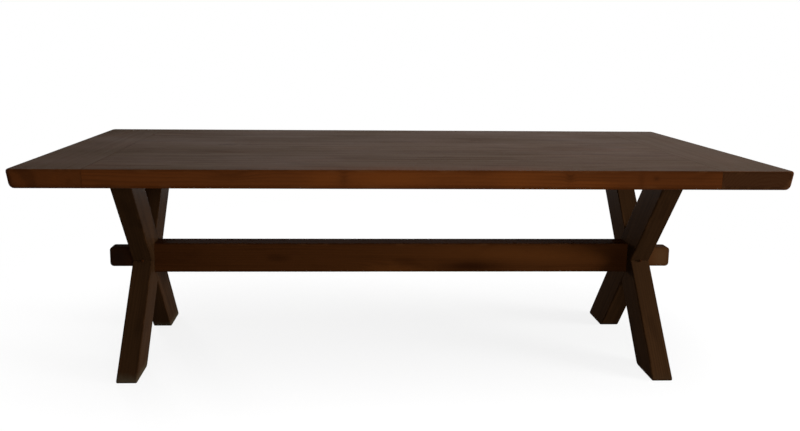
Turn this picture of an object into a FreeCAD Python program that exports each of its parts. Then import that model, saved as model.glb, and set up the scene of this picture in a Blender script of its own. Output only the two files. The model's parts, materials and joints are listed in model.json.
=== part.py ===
"""Sawbuck table: a plank top with end boards, on two crossed-leg trestles joined by one stretcher.

Millimetres. X runs along the table, Y across it with the front at minus Y, and Z is up.
The origin is on the floor, under the middle of the top.
"""
import FreeCAD, Part
import math
import os

# Overall sizes
table_height = 775.0
top_length = 2400.0
top_width = 1000.0
top_thickness = 60.0

# Plank top: outer edges
end_undercut = 10.0
top_arris = 4.0
lower_round = 10.0
corner_round = 14.0

# Plank top: planks, end boards and the joints between them
plank_names = ("front_edge_plank", "front_inner_plank", "middle_plank", "rear_inner_plank", "rear_edge_plank")
plank_width_shares = (0.205, 0.19, 0.21, 0.195, 0.2)
end_board_width = 230.0
tongue_thickness = 20.0
tongue_length = 45.0
tongue_stop = 55.0
tongue_slack = 6.0
spline_thickness = 12.0
spline_width = 30.0
spline_stop = 80.0
end_peg_diameter = 12.0
end_peg_cover = 14.0
end_peg_travel = 3.0

# Trestles
trestle_setback = 277.0
leg_thickness = 70.0
leg_width = 115.0
leg_spread = 496.0
leg_arris = 3.5
toe_round = 7.0
heel_round = 30.0
stub_thickness = 30.0
stub_length = 84.0
stub_height = 24.0

# Bearers between the leg heads and the top
bearer_length = 840.0
bearer_width = 90.0
bearer_depth = 38.0
bearer_flat_length = 600.0
bearer_tip_depth = 12.0
bearer_arris = 3.0
bearer_peg_diameter = 10.0
bearer_peg_proud = 2.0

# Screws and washers that hold the top to the bearers
screw_diameter = 6.0
screw_tip_length = 6.0
screw_bite = 35.0
screw_head_diameter = 13.0
screw_head_height = 4.5
screw_head_round = 2.0
screw_drive_width = 5.0
screw_drive_depth = 2.4
screw_seat_wood = 17.0
screw_travel = 4.0
screw_hole_clearance = 0.5
washer_diameter = 18.0
washer_thickness = 1.6
counterbore_clearance = 2.0
inner_screw_share = 0.88
outer_screw_share = 0.42

# Stretcher and the pegs that lock its tenons
stretcher_height = 110.0
stretcher_thickness = 72.0
stretcher_arris = 4.0
tenon_height = 75.0
tenon_thickness = 40.0
tenon_projection = 100.0
tenon_end_round = 14.0
tenon_arris = 2.5
tenon_peg_diameter = 9.0
tenon_peg_proud = 7.0

# Fits: side clearance of flat joints, radial clearance of pegs and screws, spare depth of blind holes
joint_clearance = 0.15
peg_clearance = 0.1
blind_clearance = 1.0
peg_chamfer = 1.2
cut_overrun = 5.0
same_place = 0.001

# Places that follow from the sizes
underside = table_height - top_thickness
middle_z = underside + top_thickness / 2
joint_x = top_length / 2 - end_board_width
trestle_x = top_length / 2 - trestle_setback
crossing_z = underside / 2
lean = math.atan2(leg_spread, underside)
leg_half_slice = leg_width / 2 / math.cos(lean)
leg_top = underside - bearer_depth
head_offset = leg_spread / 2 * (leg_top / crossing_z - 1)
shoulder_x = trestle_x - leg_thickness / 2
screw_seat_z = underside - screw_seat_wood

sides = {"left": -1, "right": 1}
feet = {"front": -1, "rear": 1}


def around(middle, size):
    """Limits of a size centred on a place."""
    return (middle - size / 2, middle + size / 2)


def block(x_limits, y_limits, z_limits):
    """Box between pairs of limits."""
    low, high = zip(*(sorted(limits) for limits in (x_limits, y_limits, z_limits)))
    corner = FreeCAD.Vector(*low)
    span = FreeCAD.Vector(*high) - corner
    return Part.makeBox(span.x, span.y, span.z, corner)


def rod(diameter, start, end):
    """Round bar between two points."""
    base = FreeCAD.Vector(*start)
    along = FreeCAD.Vector(*end) - base
    return Part.makeCylinder(diameter / 2, along.Length, base, along)


def upright_slot(diameter, travel, x, y, z_limits):
    """Upright hole that is lengthened along Y by a travel each way, or round where the travel is zero."""
    low, high = z_limits
    if travel == 0:
        return rod(diameter, (x, y, low), (x, y, high))
    ends = [rod(diameter, (x, y + way * travel, low), (x, y + way * travel, high)) for way in (-1, 1)]
    middle = block(around(x, diameter), (y - travel, y + travel), z_limits)
    return middle.fuse(ends)


def prism(points, along):
    """Closed outline pushed along a vector."""
    corners = [FreeCAD.Vector(*point) for point in points]
    return Part.Face(Part.makePolygon(corners + corners[:1])).extrude(FreeCAD.Vector(*along))


def lies_at(edge, axis, place):
    """Whether an edge lies in the plane across an axis at a place."""
    box = edge.BoundBox
    low = getattr(box, axis + "Min")
    high = getattr(box, axis + "Max")
    return abs(low - place) < same_place and abs(high - place) < same_place


def side_rims(solid, x_limits, bare_z):
    """Edges of a solid's two side faces, without those at the height where it meets another piece."""
    rims = [edge for edge in solid.Edges for x in x_limits if lies_at(edge, "X", x)]
    return [edge for edge in rims if not lies_at(edge, "Z", bare_z)]


def peg(diameter, start, end):
    """Round peg with chamfered ends."""
    solid = rod(diameter, start, end)
    rims = [edge for edge in solid.Edges if isinstance(edge.Curve, Part.Circle)]
    return solid.makeChamfer(peg_chamfer, rims)


def slab():
    """Whole top before it is divided: sloping ends, rounded corners, eased rims."""
    half = top_length / 2
    low_half = half - end_undercut
    front = -top_width / 2
    outline = ((-low_half, front, underside), (low_half, front, underside),
               (half, front, table_height), (-half, front, table_height))
    solid = prism(outline, (0, top_width, 0))
    corners = [edge for edge in solid.Edges if edge.BoundBox.ZLength > top_thickness / 2]
    solid = solid.makeFillet(corner_round, corners)
    solid = solid.makeFillet(top_arris, [edge for edge in solid.Edges if lies_at(edge, "Z", table_height)])
    return solid.makeFillet(lower_round, [edge for edge in solid.Edges if lies_at(edge, "Z", underside)])


def plank_limits():
    """Front and rear limit of each plank."""
    unit = top_width / sum(plank_width_shares)
    edges = [-top_width / 2]
    for share in plank_width_shares:
        edges.append(edges[-1] + share * unit)
    return list(zip(edges, edges[1:]))


def tongue_limits(limits):
    """Front and rear limit of a plank's tongue, which stops short of the top's long edges."""
    reach = top_width / 2 - tongue_stop
    return (max(limits[0], -reach), min(limits[1], reach))


def end_peg_places(side):
    """Plan places of the pegs of one end board, one on each tongue, with their travel along Y."""
    x = side * (joint_x + tongue_length / 2)
    middle = len(plank_names) // 2
    places = []
    for index, limits in enumerate(plank_limits()):
        travel = 0 if index == middle else end_peg_travel
        places.append((x, sum(tongue_limits(limits)) / 2, travel))
    return places


def screw_places(side):
    """Plan places of the screws of one bearer, clear of the leg heads."""
    inner_end = head_offset - leg_half_slice
    outer_end = head_offset + leg_half_slice
    inner = inner_end * inner_screw_share
    outer = outer_end + (bearer_length / 2 - outer_end) * outer_screw_share
    return [(side * trestle_x, y) for y in (-outer, -inner, 0, inner, outer)]


def spline_grooves():
    """Grooves along the joints between planks."""
    width = spline_width + 2 * blind_clearance
    height = spline_thickness + 2 * joint_clearance
    half = joint_x - spline_stop + blind_clearance
    return [block((-half, half), around(limits[1], width), around(middle_z, height))
            for limits in plank_limits()[:-1]]


def pilot_holes():
    """Blind holes under the top for the bearer screws."""
    diameter = screw_diameter + 2 * peg_clearance
    bottom = underside - cut_overrun
    top = underside + screw_bite + blind_clearance
    return [rod(diameter, (x, y, bottom), (x, y, top))
            for side in sides.values() for x, y in screw_places(side)]


def plank(limits, number, whole):
    """One long plank with its end tongues, spline grooves, peg holes and screw holes."""
    solid = whole.common(block((-joint_x, joint_x), limits, (underside, table_height)))
    diameter = end_peg_diameter + 2 * peg_clearance
    for side in sides.values():
        reach = side * (joint_x + tongue_length)
        tongue = block((side * joint_x, reach), tongue_limits(limits), around(middle_z, tongue_thickness))
        x, y, travel = end_peg_places(side)[number]
        heights = around(middle_z, tongue_thickness + cut_overrun)
        solid = solid.fuse(tongue.cut(upright_slot(diameter, travel, x, y, heights)))
    return solid.cut(spline_grooves() + pilot_holes()).removeSplitter()


def spline(limits):
    """Loose spline in the joint behind one plank."""
    half = joint_x - spline_stop
    return block((-half, half), around(limits[1], spline_width), around(middle_z, spline_thickness))


def end_board(side, whole):
    """Cross board at one end of the top, with its stopped groove and peg holes."""
    far = side * (top_length / 2 + cut_overrun)
    wide = around(0, top_width + cut_overrun)
    solid = whole.common(block((side * joint_x, far), wide, (underside, table_height)))
    reach = top_width / 2 - tongue_stop + tongue_slack
    bottom = side * (joint_x + tongue_length + blind_clearance)
    groove = block((side * joint_x, bottom), (-reach, reach),
                   around(middle_z, tongue_thickness + 2 * joint_clearance))
    diameter = end_peg_diameter + 2 * peg_clearance
    top = table_height - end_peg_cover + blind_clearance
    holes = [rod(diameter, (x, y, underside - cut_overrun), (x, y, top)) for x, y, _ in end_peg_places(side)]
    return solid.cut([groove] + holes)


def end_pegs(side):
    """Pegs that lock the tongues in one end board, flush below and covered above."""
    top = table_height - end_peg_cover
    return [peg(end_peg_diameter, (x, y, underside), (x, y, top)) for x, y, _ in end_peg_places(side)]


def leg_outline(foot, x):
    """Side outline of a leg that stands on one foot and leans to the other side."""
    foot_y = foot * leg_spread / 2
    head_y = -foot * head_offset
    return ((x, foot_y - leg_half_slice, 0), (x, foot_y + leg_half_slice, 0),
            (x, head_y + leg_half_slice, leg_top), (x, head_y - leg_half_slice, leg_top))


def leg_bar(side, foot):
    """Sloping bar with flat foot and head, rounded at the foot and along its arrises."""
    low_x, high_x = around(side * trestle_x, leg_thickness)
    bar = prism(leg_outline(foot, low_x), (leg_thickness, 0, 0))
    for end, radius in ((foot, toe_round), (-foot, heel_round)):
        y = foot * leg_spread / 2 + end * leg_half_slice
        corner = [edge for edge in bar.Edges if lies_at(edge, "Z", 0) and lies_at(edge, "Y", y)]
        bar = bar.makeFillet(radius, corner)
    return bar.makeFillet(leg_arris, side_rims(bar, (low_x, high_x), leg_top))


def stub(side, foot, clearance, spare_height):
    """Stub tenon on a leg's head, or with a clearance its mortise."""
    y = -foot * head_offset
    return block(around(side * trestle_x, stub_thickness + 2 * clearance),
                 around(y, stub_length + 2 * clearance), (leg_top, leg_top + stub_height + spare_height))


def bearer_peg_line(side, foot, spare):
    """Ends of a bearer peg's axis, lengthened by a spare at both ends."""
    y = -foot * head_offset
    z = leg_top + stub_height / 2
    low_x, high_x = around(side * trestle_x, bearer_width + 2 * spare)
    return (low_x, y, z), (high_x, y, z)


def tenon_peg_line(side, proud):
    """Ends of a tenon peg's axis, standing proud of the crossing's front and rear."""
    reach = leg_half_slice + proud
    return (side * trestle_x, -reach, crossing_z), (side * trestle_x, reach, crossing_z)


def leg(side, foot):
    """Leg with its half lap, stub tenon, mortise for the stretcher and peg holes."""
    x = side * trestle_x
    lap_way = side * foot
    lap = prism(leg_outline(-foot, x), (lap_way * (leg_thickness / 2 + cut_overrun), 0, 0))
    mortise = block(around(x, leg_thickness + cut_overrun),
                    around(0, tenon_thickness + 2 * joint_clearance),
                    around(crossing_z, tenon_height + 2 * joint_clearance))
    lock_line = tenon_peg_line(side, tenon_peg_proud + cut_overrun)
    lock_hole = rod(tenon_peg_diameter + 2 * peg_clearance, *lock_line)
    stub_hole = rod(bearer_peg_diameter + 2 * peg_clearance, *bearer_peg_line(side, foot, cut_overrun))
    bar = leg_bar(side, foot).fuse(stub(side, foot, 0, 0))
    return bar.cut([lap, mortise, lock_hole, stub_hole]).removeSplitter()


def bearer(side):
    """Bearer with thinned ends, mortises for the leg heads, peg holes and slotted screw holes."""
    low_x, high_x = around(side * trestle_x, bearer_width)
    half = bearer_length / 2
    flat = bearer_flat_length / 2
    tip_z = underside - bearer_tip_depth
    outline = ((low_x, -half, underside), (low_x, half, underside), (low_x, half, tip_z),
               (low_x, flat, leg_top), (low_x, -flat, leg_top), (low_x, -half, tip_z))
    solid = prism(outline, (bearer_width, 0, 0))
    solid = solid.makeFillet(bearer_arris, side_rims(solid, (low_x, high_x), underside))
    cuts = []
    for foot in feet.values():
        cuts.append(stub(side, foot, joint_clearance, blind_clearance))
        cuts.append(rod(bearer_peg_diameter + 2 * peg_clearance, *bearer_peg_line(side, foot, cut_overrun)))
    bottom = leg_top - cut_overrun
    for x, y in screw_places(side):
        heights = (bottom, underside + cut_overrun)
        cuts.append(upright_slot(screw_diameter + 2 * screw_hole_clearance, screw_travel, x, y, heights))
        bore = washer_diameter + 2 * counterbore_clearance
        cuts.append(rod(bore, (x, y, bottom), (x, y, screw_seat_z)))
    return solid.cut(cuts)


def screw(x, y):
    """Round-headed screw with a six-sided drive, point up."""
    head_top = screw_seat_z - washer_thickness
    head_bottom = head_top - screw_head_height
    point = underside + screw_bite
    neck = point - screw_tip_length
    head = rod(screw_head_diameter, (x, y, head_bottom), (x, y, head_top))
    head = head.makeFillet(screw_head_round, [edge for edge in head.Edges if lies_at(edge, "Z", head_bottom)])
    shank = rod(screw_diameter, (x, y, head_top), (x, y, neck))
    tip = Part.makeCone(screw_diameter / 2, 0, screw_tip_length, FreeCAD.Vector(x, y, neck))
    corner = screw_drive_width / 2 / math.cos(math.pi / 6)
    turns = [turn * math.pi / 3 for turn in range(6)]
    hexagon = [(x + corner * math.cos(turn), y + corner * math.sin(turn), head_bottom) for turn in turns]
    drive = prism(hexagon, (0, 0, screw_drive_depth))
    return head.fuse([shank, tip]).cut(drive).removeSplitter()


def washer(x, y):
    """Flat washer between a screw's head and the bearer."""
    low = (x, y, screw_seat_z - washer_thickness)
    high = (x, y, screw_seat_z)
    return rod(washer_diameter, low, high).cut(rod(screw_diameter + 2 * peg_clearance, low, high))


def stretcher():
    """Long rail with a thinner tenon through each crossing."""
    heights = around(crossing_z, stretcher_height)
    solid = block((-shoulder_x, shoulder_x), around(0, stretcher_thickness), heights)
    arrises = [edge for edge in solid.Edges if edge.BoundBox.XLength > shoulder_x]
    solid = solid.makeFillet(stretcher_arris, arrises)
    end_x = trestle_x + leg_thickness / 2 + tenon_projection
    for side in sides.values():
        tenon = block((side * shoulder_x, side * end_x), around(0, tenon_thickness),
                      around(crossing_z, tenon_height))
        end_rims = [edge for edge in tenon.Edges for z in around(crossing_z, tenon_height)
                    if lies_at(edge, "X", side * end_x) and lies_at(edge, "Z", z)]
        tenon = tenon.makeFillet(tenon_end_round, end_rims)
        long_rims = [edge for edge in tenon.Edges for y in around(0, tenon_thickness)
                     if lies_at(edge, "Y", y) and not lies_at(edge, "X", side * shoulder_x)]
        hole = rod(tenon_peg_diameter + 2 * peg_clearance, *tenon_peg_line(side, tenon_peg_proud))
        solid = solid.fuse(tenon.makeFillet(tenon_arris, long_rims)).cut(hole)
    return solid.removeSplitter()


def save(node, *solids):
    """Write one node, as a single solid or as a group of solids."""
    shape = solids[0] if len(solids) == 1 else Part.makeCompound(solids)
    shape.exportStep("parts/" + node + ".step")


def save_top():
    """Write the planks, splines, end boards and end pegs."""
    whole = slab()
    limits = plank_limits()
    for number, name in enumerate(plank_names):
        save(name, plank(limits[number], number, whole))
    for number, plank_place in enumerate(limits[:-1]):
        save("plank_spline_" + str(number + 1), spline(plank_place))
    for name, side in sides.items():
        save(name + "_end_board", end_board(side, whole))
        save(name + "_end_pegs", *end_pegs(side))


def save_trestle(name, side):
    """Write one trestle: crossed legs, bearer, pegs, screws and washers."""
    for foot_name, foot in feet.items():
        save(name + "_" + foot_name + "_leg", leg(side, foot))
    save(name + "_bearer", bearer(side))
    bearer_pegs = [peg(bearer_peg_diameter, *bearer_peg_line(side, foot, bearer_peg_proud))
                   for foot in feet.values()]
    save(name + "_bearer_pegs", *bearer_pegs)
    save(name + "_bearer_screws", *[screw(x, y) for x, y in screw_places(side)])
    save(name + "_bearer_washers", *[washer(x, y) for x, y in screw_places(side)])
    save(name + "_tenon_peg", peg(tenon_peg_diameter, *tenon_peg_line(side, tenon_peg_proud)))


os.makedirs("parts", exist_ok=True)
save_top()
for trestle_name, trestle_side in sides.items():
    save_trestle(trestle_name, trestle_side)
save("stretcher", stretcher())
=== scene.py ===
"""Looks of a sawbuck table: plank top, end boards, crossed legs, bearers, pegged stretcher and screws.

Metres. X runs along the table, Y across it with the front at minus Y, and Z is up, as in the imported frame.
"""
from __future__ import annotations

import json
import logging
import math
import random
from collections.abc import Callable, Iterable, Sequence
from dataclasses import dataclass, field, replace
from enum import Enum

import bmesh
import bpy
from mathutils import Matrix, Vector, noise

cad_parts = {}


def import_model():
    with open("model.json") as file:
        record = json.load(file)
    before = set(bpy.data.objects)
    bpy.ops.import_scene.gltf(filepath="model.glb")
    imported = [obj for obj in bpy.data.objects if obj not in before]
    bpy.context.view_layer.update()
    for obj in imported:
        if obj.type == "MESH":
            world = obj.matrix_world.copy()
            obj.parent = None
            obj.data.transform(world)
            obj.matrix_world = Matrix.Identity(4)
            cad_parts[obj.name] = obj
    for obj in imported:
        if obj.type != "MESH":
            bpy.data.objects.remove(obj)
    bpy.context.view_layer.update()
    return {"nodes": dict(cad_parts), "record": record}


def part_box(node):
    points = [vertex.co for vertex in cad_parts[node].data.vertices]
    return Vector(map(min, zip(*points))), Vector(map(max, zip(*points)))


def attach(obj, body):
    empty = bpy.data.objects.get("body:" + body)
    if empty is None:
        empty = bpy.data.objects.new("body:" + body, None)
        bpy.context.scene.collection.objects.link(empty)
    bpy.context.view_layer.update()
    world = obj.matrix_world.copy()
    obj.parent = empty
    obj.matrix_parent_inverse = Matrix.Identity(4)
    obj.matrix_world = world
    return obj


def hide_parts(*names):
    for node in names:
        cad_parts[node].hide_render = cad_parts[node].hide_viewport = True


log = logging.getLogger("sawbuck_table")

Rgb = tuple[float, float, float]
Place = tuple[float, float, float]
Spot = tuple[float, float, float]
Pair = tuple[float, float]
Limits = tuple[float, float]
Box = tuple[Vector, Vector]
Profile = Sequence[tuple[float, float]]
Shape = Callable[[int, float, float], float]

# The body that all pieces ride on, and the layer of the points' arris strengths.
BODY = "root"
ARRIS = "arris"
# The planks' nodes, from front to rear.
PLANKS = ("front_edge_plank", "front_inner_plank", "middle_plank", "rear_inner_plank", "rear_edge_plank")
# Rays to which the floor and the surroundings look white.
SEEN_RAYS = ("Is Camera Ray", "Is Glossy Ray", "Is Transmission Ray")

ALONG = Vector((1, 0, 0))
ACROSS = Vector((0, 1, 0))
UP = Vector((0, 0, 1))
WHITE = (1.0, 1.0, 1.0, 1.0)

# How far a cutter runs past a face, and the distance below which two points are one.
OVERRUN = 0.005
WELD = 1e-6
# Faces that meet at less than this angle are shaded as one.
SMOOTH_ANGLE = math.radians(35)
# Distances from an arris of the guard lines that keep a flat face's shading flat.
GUARD = 0.007
END_BOARD_GUARD = 0.010
FINE_GUARD = 0.004
# A frame along a direction whose Z is at least this is squared to X, and any other to Z.
STEEP = 0.7
# Digits to which places are rounded, so that equal ones fall together.
DIGITS = 6
# Reach of the random shift of a hand plane's hollows.
HOLLOW_SHIFT = 50


class Slot(Enum):
    """The record's material slots."""

    PLANK = "plank_wood"
    END_BOARD = "end_board_wood"
    TRESTLE = "trestle_wood"
    PEG = "peg_wood"
    STEEL = "screw_steel"


class Run(Enum):
    """Which way a timber's length runs: the axes of its length, width and depth."""

    ALONG = (0, 1, 2)
    ACROSS = (1, 0, 2)
    UPRIGHT = (2, 1, 0)


class Named(Enum):
    """A choice whose word stands in the names of nodes."""

    @property
    def word(self) -> str:
        """Its word there."""
        return self.name.lower()


class Side(Named):
    """The two ends of the table, with their sign along X."""

    LEFT = -1
    RIGHT = 1


class Foot(Named):
    """Where a leg's foot stands, with its sign along Y."""

    FRONT = -1
    REAR = 1

    @property
    def other(self) -> Foot:
        """Foot of the leg that crosses this one."""
        return Foot(-self.value)


# Strength of the paler, greyer tone at the feet of each trestle.
PALE_FEET = {Side.LEFT: 0.32, Side.RIGHT: 0.03}


def display(red: float, green: float, blue: float) -> Rgb:
    """Linear colour of a colour as a screen shows it, in bytes."""
    return tuple(((byte / 255 + 0.055) / 1.055) ** 2.4 for byte in (red, green, blue))


def around(middle: float, half: float) -> Limits:
    """Limits at the same distance on both sides of a place."""
    return middle - half, middle + half


def narrowed(limits: Limits, by: float) -> Limits:
    """Limits drawn in by the same distance at both ends."""
    return limits[0] + by, limits[1] - by


# Shader trees


class Sock:
    """An output of a shader tree; arithmetic on it adds Math nodes."""

    def __init__(self, graph: Graph, socket: bpy.types.NodeSocket | None) -> None:
        """Keep the tree and the output, which a tree's last node lacks."""
        self.graph = graph
        self.socket = socket

    def __add__(self, other: Sock | float) -> Sock:
        """Sum."""
        return self.graph.math("ADD", self, other)

    def __sub__(self, other: Sock | float) -> Sock:
        """Difference."""
        return self.graph.math("SUBTRACT", self, other)

    def __rsub__(self, other: Sock | float) -> Sock:
        """Difference from a number."""
        return self.graph.math("SUBTRACT", other, self)

    def __mul__(self, other: Sock | float) -> Sock:
        """Product."""
        return self.graph.math("MULTIPLY", self, other)

    def __truediv__(self, other: Sock | float) -> Sock:
        """Quotient."""
        return self.graph.math("DIVIDE", self, other)

    def __rtruediv__(self, other: Sock | float) -> Sock:
        """Quotient of a number."""
        return self.graph.math("DIVIDE", other, self)

    __radd__ = __add__
    __rmul__ = __mul__


@dataclass(frozen=True)
class Layer:
    """One noise in a finish.

    Attributes:
        scale: how fine it is along, across and deep.
        detail: how much finer noise it carries.
        span: values of the noise between which the layer comes in.
        strength: how much the layer does where it is all in.
        rough: how much the noise varies the roughness.
        relief: its share in the relief of the surface.
    """

    scale: Place
    detail: float
    span: Limits = (0.0, 1.0)
    strength: float = 1.0
    rough: float = 0.0
    relief: float = 0.0


class Graph:
    """The node tree of one material or world."""

    def __init__(self, owner: bpy.types.ID) -> None:
        """Start an owner's tree from nothing.

        Args:
            owner: the material or world.
        """
        owner.use_nodes = True
        self.tree = owner.node_tree
        self.tree.nodes.clear()

    @staticmethod
    def pick(sockets: Iterable[bpy.types.NodeSocket], name: str) -> bpy.types.NodeSocket:
        """Find a socket.

        Args:
            sockets: a node's inputs or outputs.
            name: the socket's identifier, or else its name.

        Returns:
            The socket.
        """
        found = list(sockets)
        exact = [socket for socket in found if socket.identifier == name]
        return (exact or [socket for socket in found if socket.name == name])[0]

    def node(self, kind: str, output: str = "", inputs: dict[str, object] | None = None,
             **settings: object) -> Sock:
        """Add a node.

        Args:
            kind: the node's type, without its ShaderNode prefix.
            output: the output to hand back, or the first one where it is empty.
            inputs: values or links, by socket.
            settings: the node's own settings, which are set before its inputs.

        Returns:
            The chosen output.
        """
        made = self.tree.nodes.new("ShaderNode" + kind)
        for name, value in settings.items():
            setattr(made, name, value)
        for name, value in (inputs or {}).items():
            socket = self.pick(made.inputs, name)
            if isinstance(value, Sock):
                self.tree.links.new(value.socket, socket)
            else:
                socket.default_value = value
        outputs = list(made.outputs)
        if not outputs:
            return Sock(self, None)
        return Sock(self, self.pick(outputs, output) if output else outputs[0])

    def math(self, operation: str, first: Sock | float, second: Sock | float = 0.0) -> Sock:
        """Math node on one or two values."""
        return self.node("Math", inputs={"Value": first, "Value_001": second}, operation=operation)

    def vector(self, operation: str, first: Sock, second: Sock | Sequence[float],
               output: str = "Vector") -> Sock:
        """Vector Math node on two vectors."""
        inputs = {"Vector": first, "Vector_001": second}
        return self.node("VectorMath", output, inputs, operation=operation)

    def rise(self, value: Sock, low: float, high: float) -> Sock:
        """Smooth step from 0 at a low value to 1 at a high one."""
        inputs = {"Value": value, "From Min": low, "From Max": high}
        return self.node("MapRange", "Result", inputs, interpolation_type="SMOOTHSTEP", clamp=True)

    def mix(self, share: Sock | float, first: Sock | Rgb, second: Sock | Rgb, blend: str = "MIX") -> Sock:
        """Mix two colours.

        Args:
            share: how much of the second colour there is, from 0 to 1.
            first: the first colour.
            second: the second colour.
            blend: how the second colour goes over the first.

        Returns:
            The mixed colour.
        """
        colours = [colour if isinstance(colour, Sock) else (*colour, 1.0) for colour in (first, second)]
        inputs = {"Factor_Float": share, "A_Color": colours[0], "B_Color": colours[1]}
        return self.node("Mix", "Result_Color", inputs, data_type="RGBA", blend_type=blend)

    def noise(self, place: Sock, layer: Layer, output: str = "Fac") -> Sock:
        """A layer's noise, from about 0.25 to 0.75."""
        stretched = self.vector("MULTIPLY", place, layer.scale)
        return self.node("TexNoise", output, {"Vector": stretched, "Scale": 1.0, "Detail": layer.detail})

    def bump(self, height: Sock, distance: float, strength: float) -> Sock:
        """Normal of a surface with a relief."""
        return self.node("Bump", "Normal", {"Strength": strength, "Distance": distance, "Height": height})

    def surface(self, shader: Sock, kind: str = "OutputMaterial") -> None:
        """Join a shader to the tree's output."""
        self.node(kind, inputs={"Surface": shader})


# Finishes


NOISE_MEAN = 0.5

# Noises of the wood: how the grain wanders, how the rings' pace varies, streaks, fibres, lively clouds,
# patches where the stain soaked in, the varnish with its roughness and painted sheen, rubbed spots and the
# ragged upper edge of the paler tone at the feet.
WANDER = Layer((1.1, 6, 6), 2.0)
PACE = Layer((0.8, 22, 22), 1.0, strength=2.4)
STREAK = Layer((1.6, 55, 55), 3.0, (0.48, 0.7), 0.3, rough=0.1, relief=0.3)
FIBRE = Layer((22, 650, 650), 2.0, (0.5, 0.72), 0.2, rough=0.1, relief=0.8)
CLOUD = Layer((2.4, 9, 9), 2.0, (0.5, 0.72), 0.5)
PATCH = Layer((5.5, 16, 16), 1.0, (0.54, 0.74), 0.42)
COAT = Layer((2.2, 4, 4), 2.0, (0.3, 0.7), 0.25, rough=0.35)
WEAR = Layer((14, 40, 40), 3.0, (0.5, 0.68), 0.1)
RAGGED_EDGE = Layer((30, 30, 30), 3.0, strength=0.03)

# Noises of the steel: dull patches and brown freckles.
MOTTLE = Layer((420, 420, 420), 3.0, (0.35, 0.65), rough=0.3)
FRECKLE = Layer((900, 900, 900), 2.0, (0.6, 0.7), 0.6)

# Parts of a ring over which its line grows dark, and over which it ends.
LINE_GROWS = (0.3, 0.9)
LINE_ENDS = (0.92, 1.0)
# Cloud values between which the ring lines come in.
LINE_SPAN = (0.2, 0.6)
# How squarely a face has to look up, or along the grain, to count as an upper face or as end grain.
LOOKS_UP = (0.7, 0.95)
LOOKS_ALONG = (0.7, 0.9)
# Heights above the floor between which the paler tone at the feet fades out.
PALE_FOOT_HEIGHTS = (0.006, 0.034)

# Reach of the random places of the tree's heart, of its drift and of the figure's shift.
PITH_ACROSS = 0.05
PITH_DEEP = (0.05, 0.14)
DRIFT = (0.02, 0.015)
FIGURE_SHIFT = 40


@dataclass(frozen=True)
class Mark:
    """A knot, or a darker or lighter cloud, in a timber's figure, or a painted patch of light or shade.

    Attributes:
        at: its place along, across and deep, from the timber's middle.
        reach: its size along, across and deep.
        dark: strength of its dark tone; below 0 it is lighter than the wood round it.
        flow: how far the ring lines bow round it.
        tone: its own tone, where it has neither the wood's deep one nor its lively one.
    """

    at: Place
    reach: Place
    dark: float = 0.0
    flow: float = 0.0
    tone: Rgb | None = None


PLANK_MARKS_AND_PAINTED_LIGHT = {
    "front_edge_plank": (
        # Painted light: two broad lighter patches along the middle of the front edge.
        Mark((-0.05, -0.1, 0.0), (0.16, 0.06, 0.05), -0.6),
        Mark((0.32, -0.1, 0.0), (0.14, 0.06, 0.05), -0.4),
        Mark((-0.25, -0.1, 0.0), (0.05, 0.05, 0.03), -0.4),
        Mark((-0.187, -0.1, 0.005), (0.014, 0.05, 0.03), 0.35, 0.006),
        Mark((-0.53, -0.1, 0.014), (0.07, 0.05, 0.016), 0.35, 0.012),
        Mark((0.5, -0.1, 0.008), (0.014, 0.05, 0.016), 0.4, 0.008),
        Mark((0.72, -0.1, 0.0), (0.01, 0.05, 0.03), 0.3),
        # Painted shade: the front edge darkens towards its right end.
        Mark((0.85, -0.1, 0.0), (0.25, 0.05, 0.06), 0.3),
        Mark((0.766, -0.1, 0.008), (0.009, 0.05, 0.007), 0.6, 0.012),
    ),
    "middle_plank": (Mark((-0.62, 0.03, 0.03), (0.03, 0.018, 0.05), 0.4, 0.02),),
    "rear_inner_plank": (Mark((0.34, -0.02, 0.03), (0.03, 0.018, 0.05), 0.4, 0.02),),
}
RAIL_MARKS_AND_PAINTED_LIGHT = (
    # Painted light: the rail is lighter towards the right, where the light falls on it.
    Mark((0.5, -0.03, 0.012), (0.36, 0.05, 0.035), -0.8),
    Mark((0.0, -0.03, -0.05), (0.11, 0.05, 0.022), -0.7, 0.03),
    Mark((0.3, -0.03, -0.035), (0.13, 0.05, 0.02), 0.8),
    # Painted shadow of the right trestle's legs on the rail.
    Mark((0.86, -0.03, 0.0), (0.06, 0.05, 0.06), 0.6),
    # Painted light on the right tenon.
    Mark((1.03, 0.0, 0.0), (0.05, 0.05, 0.06), 0.95, tone=display(102, 71, 44)),
    # Painted shade on the rail towards its left end.
    Mark((-0.86, -0.03, 0.0), (0.16, 0.05, 0.06), 0.4),
    # Painted shadow of the left trestle's legs on the left tenon.
    Mark((-1.03, 0.0, 0.0), (0.06, 0.05, 0.06), 0.95, tone=display(47, 34, 28)),
)


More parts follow.
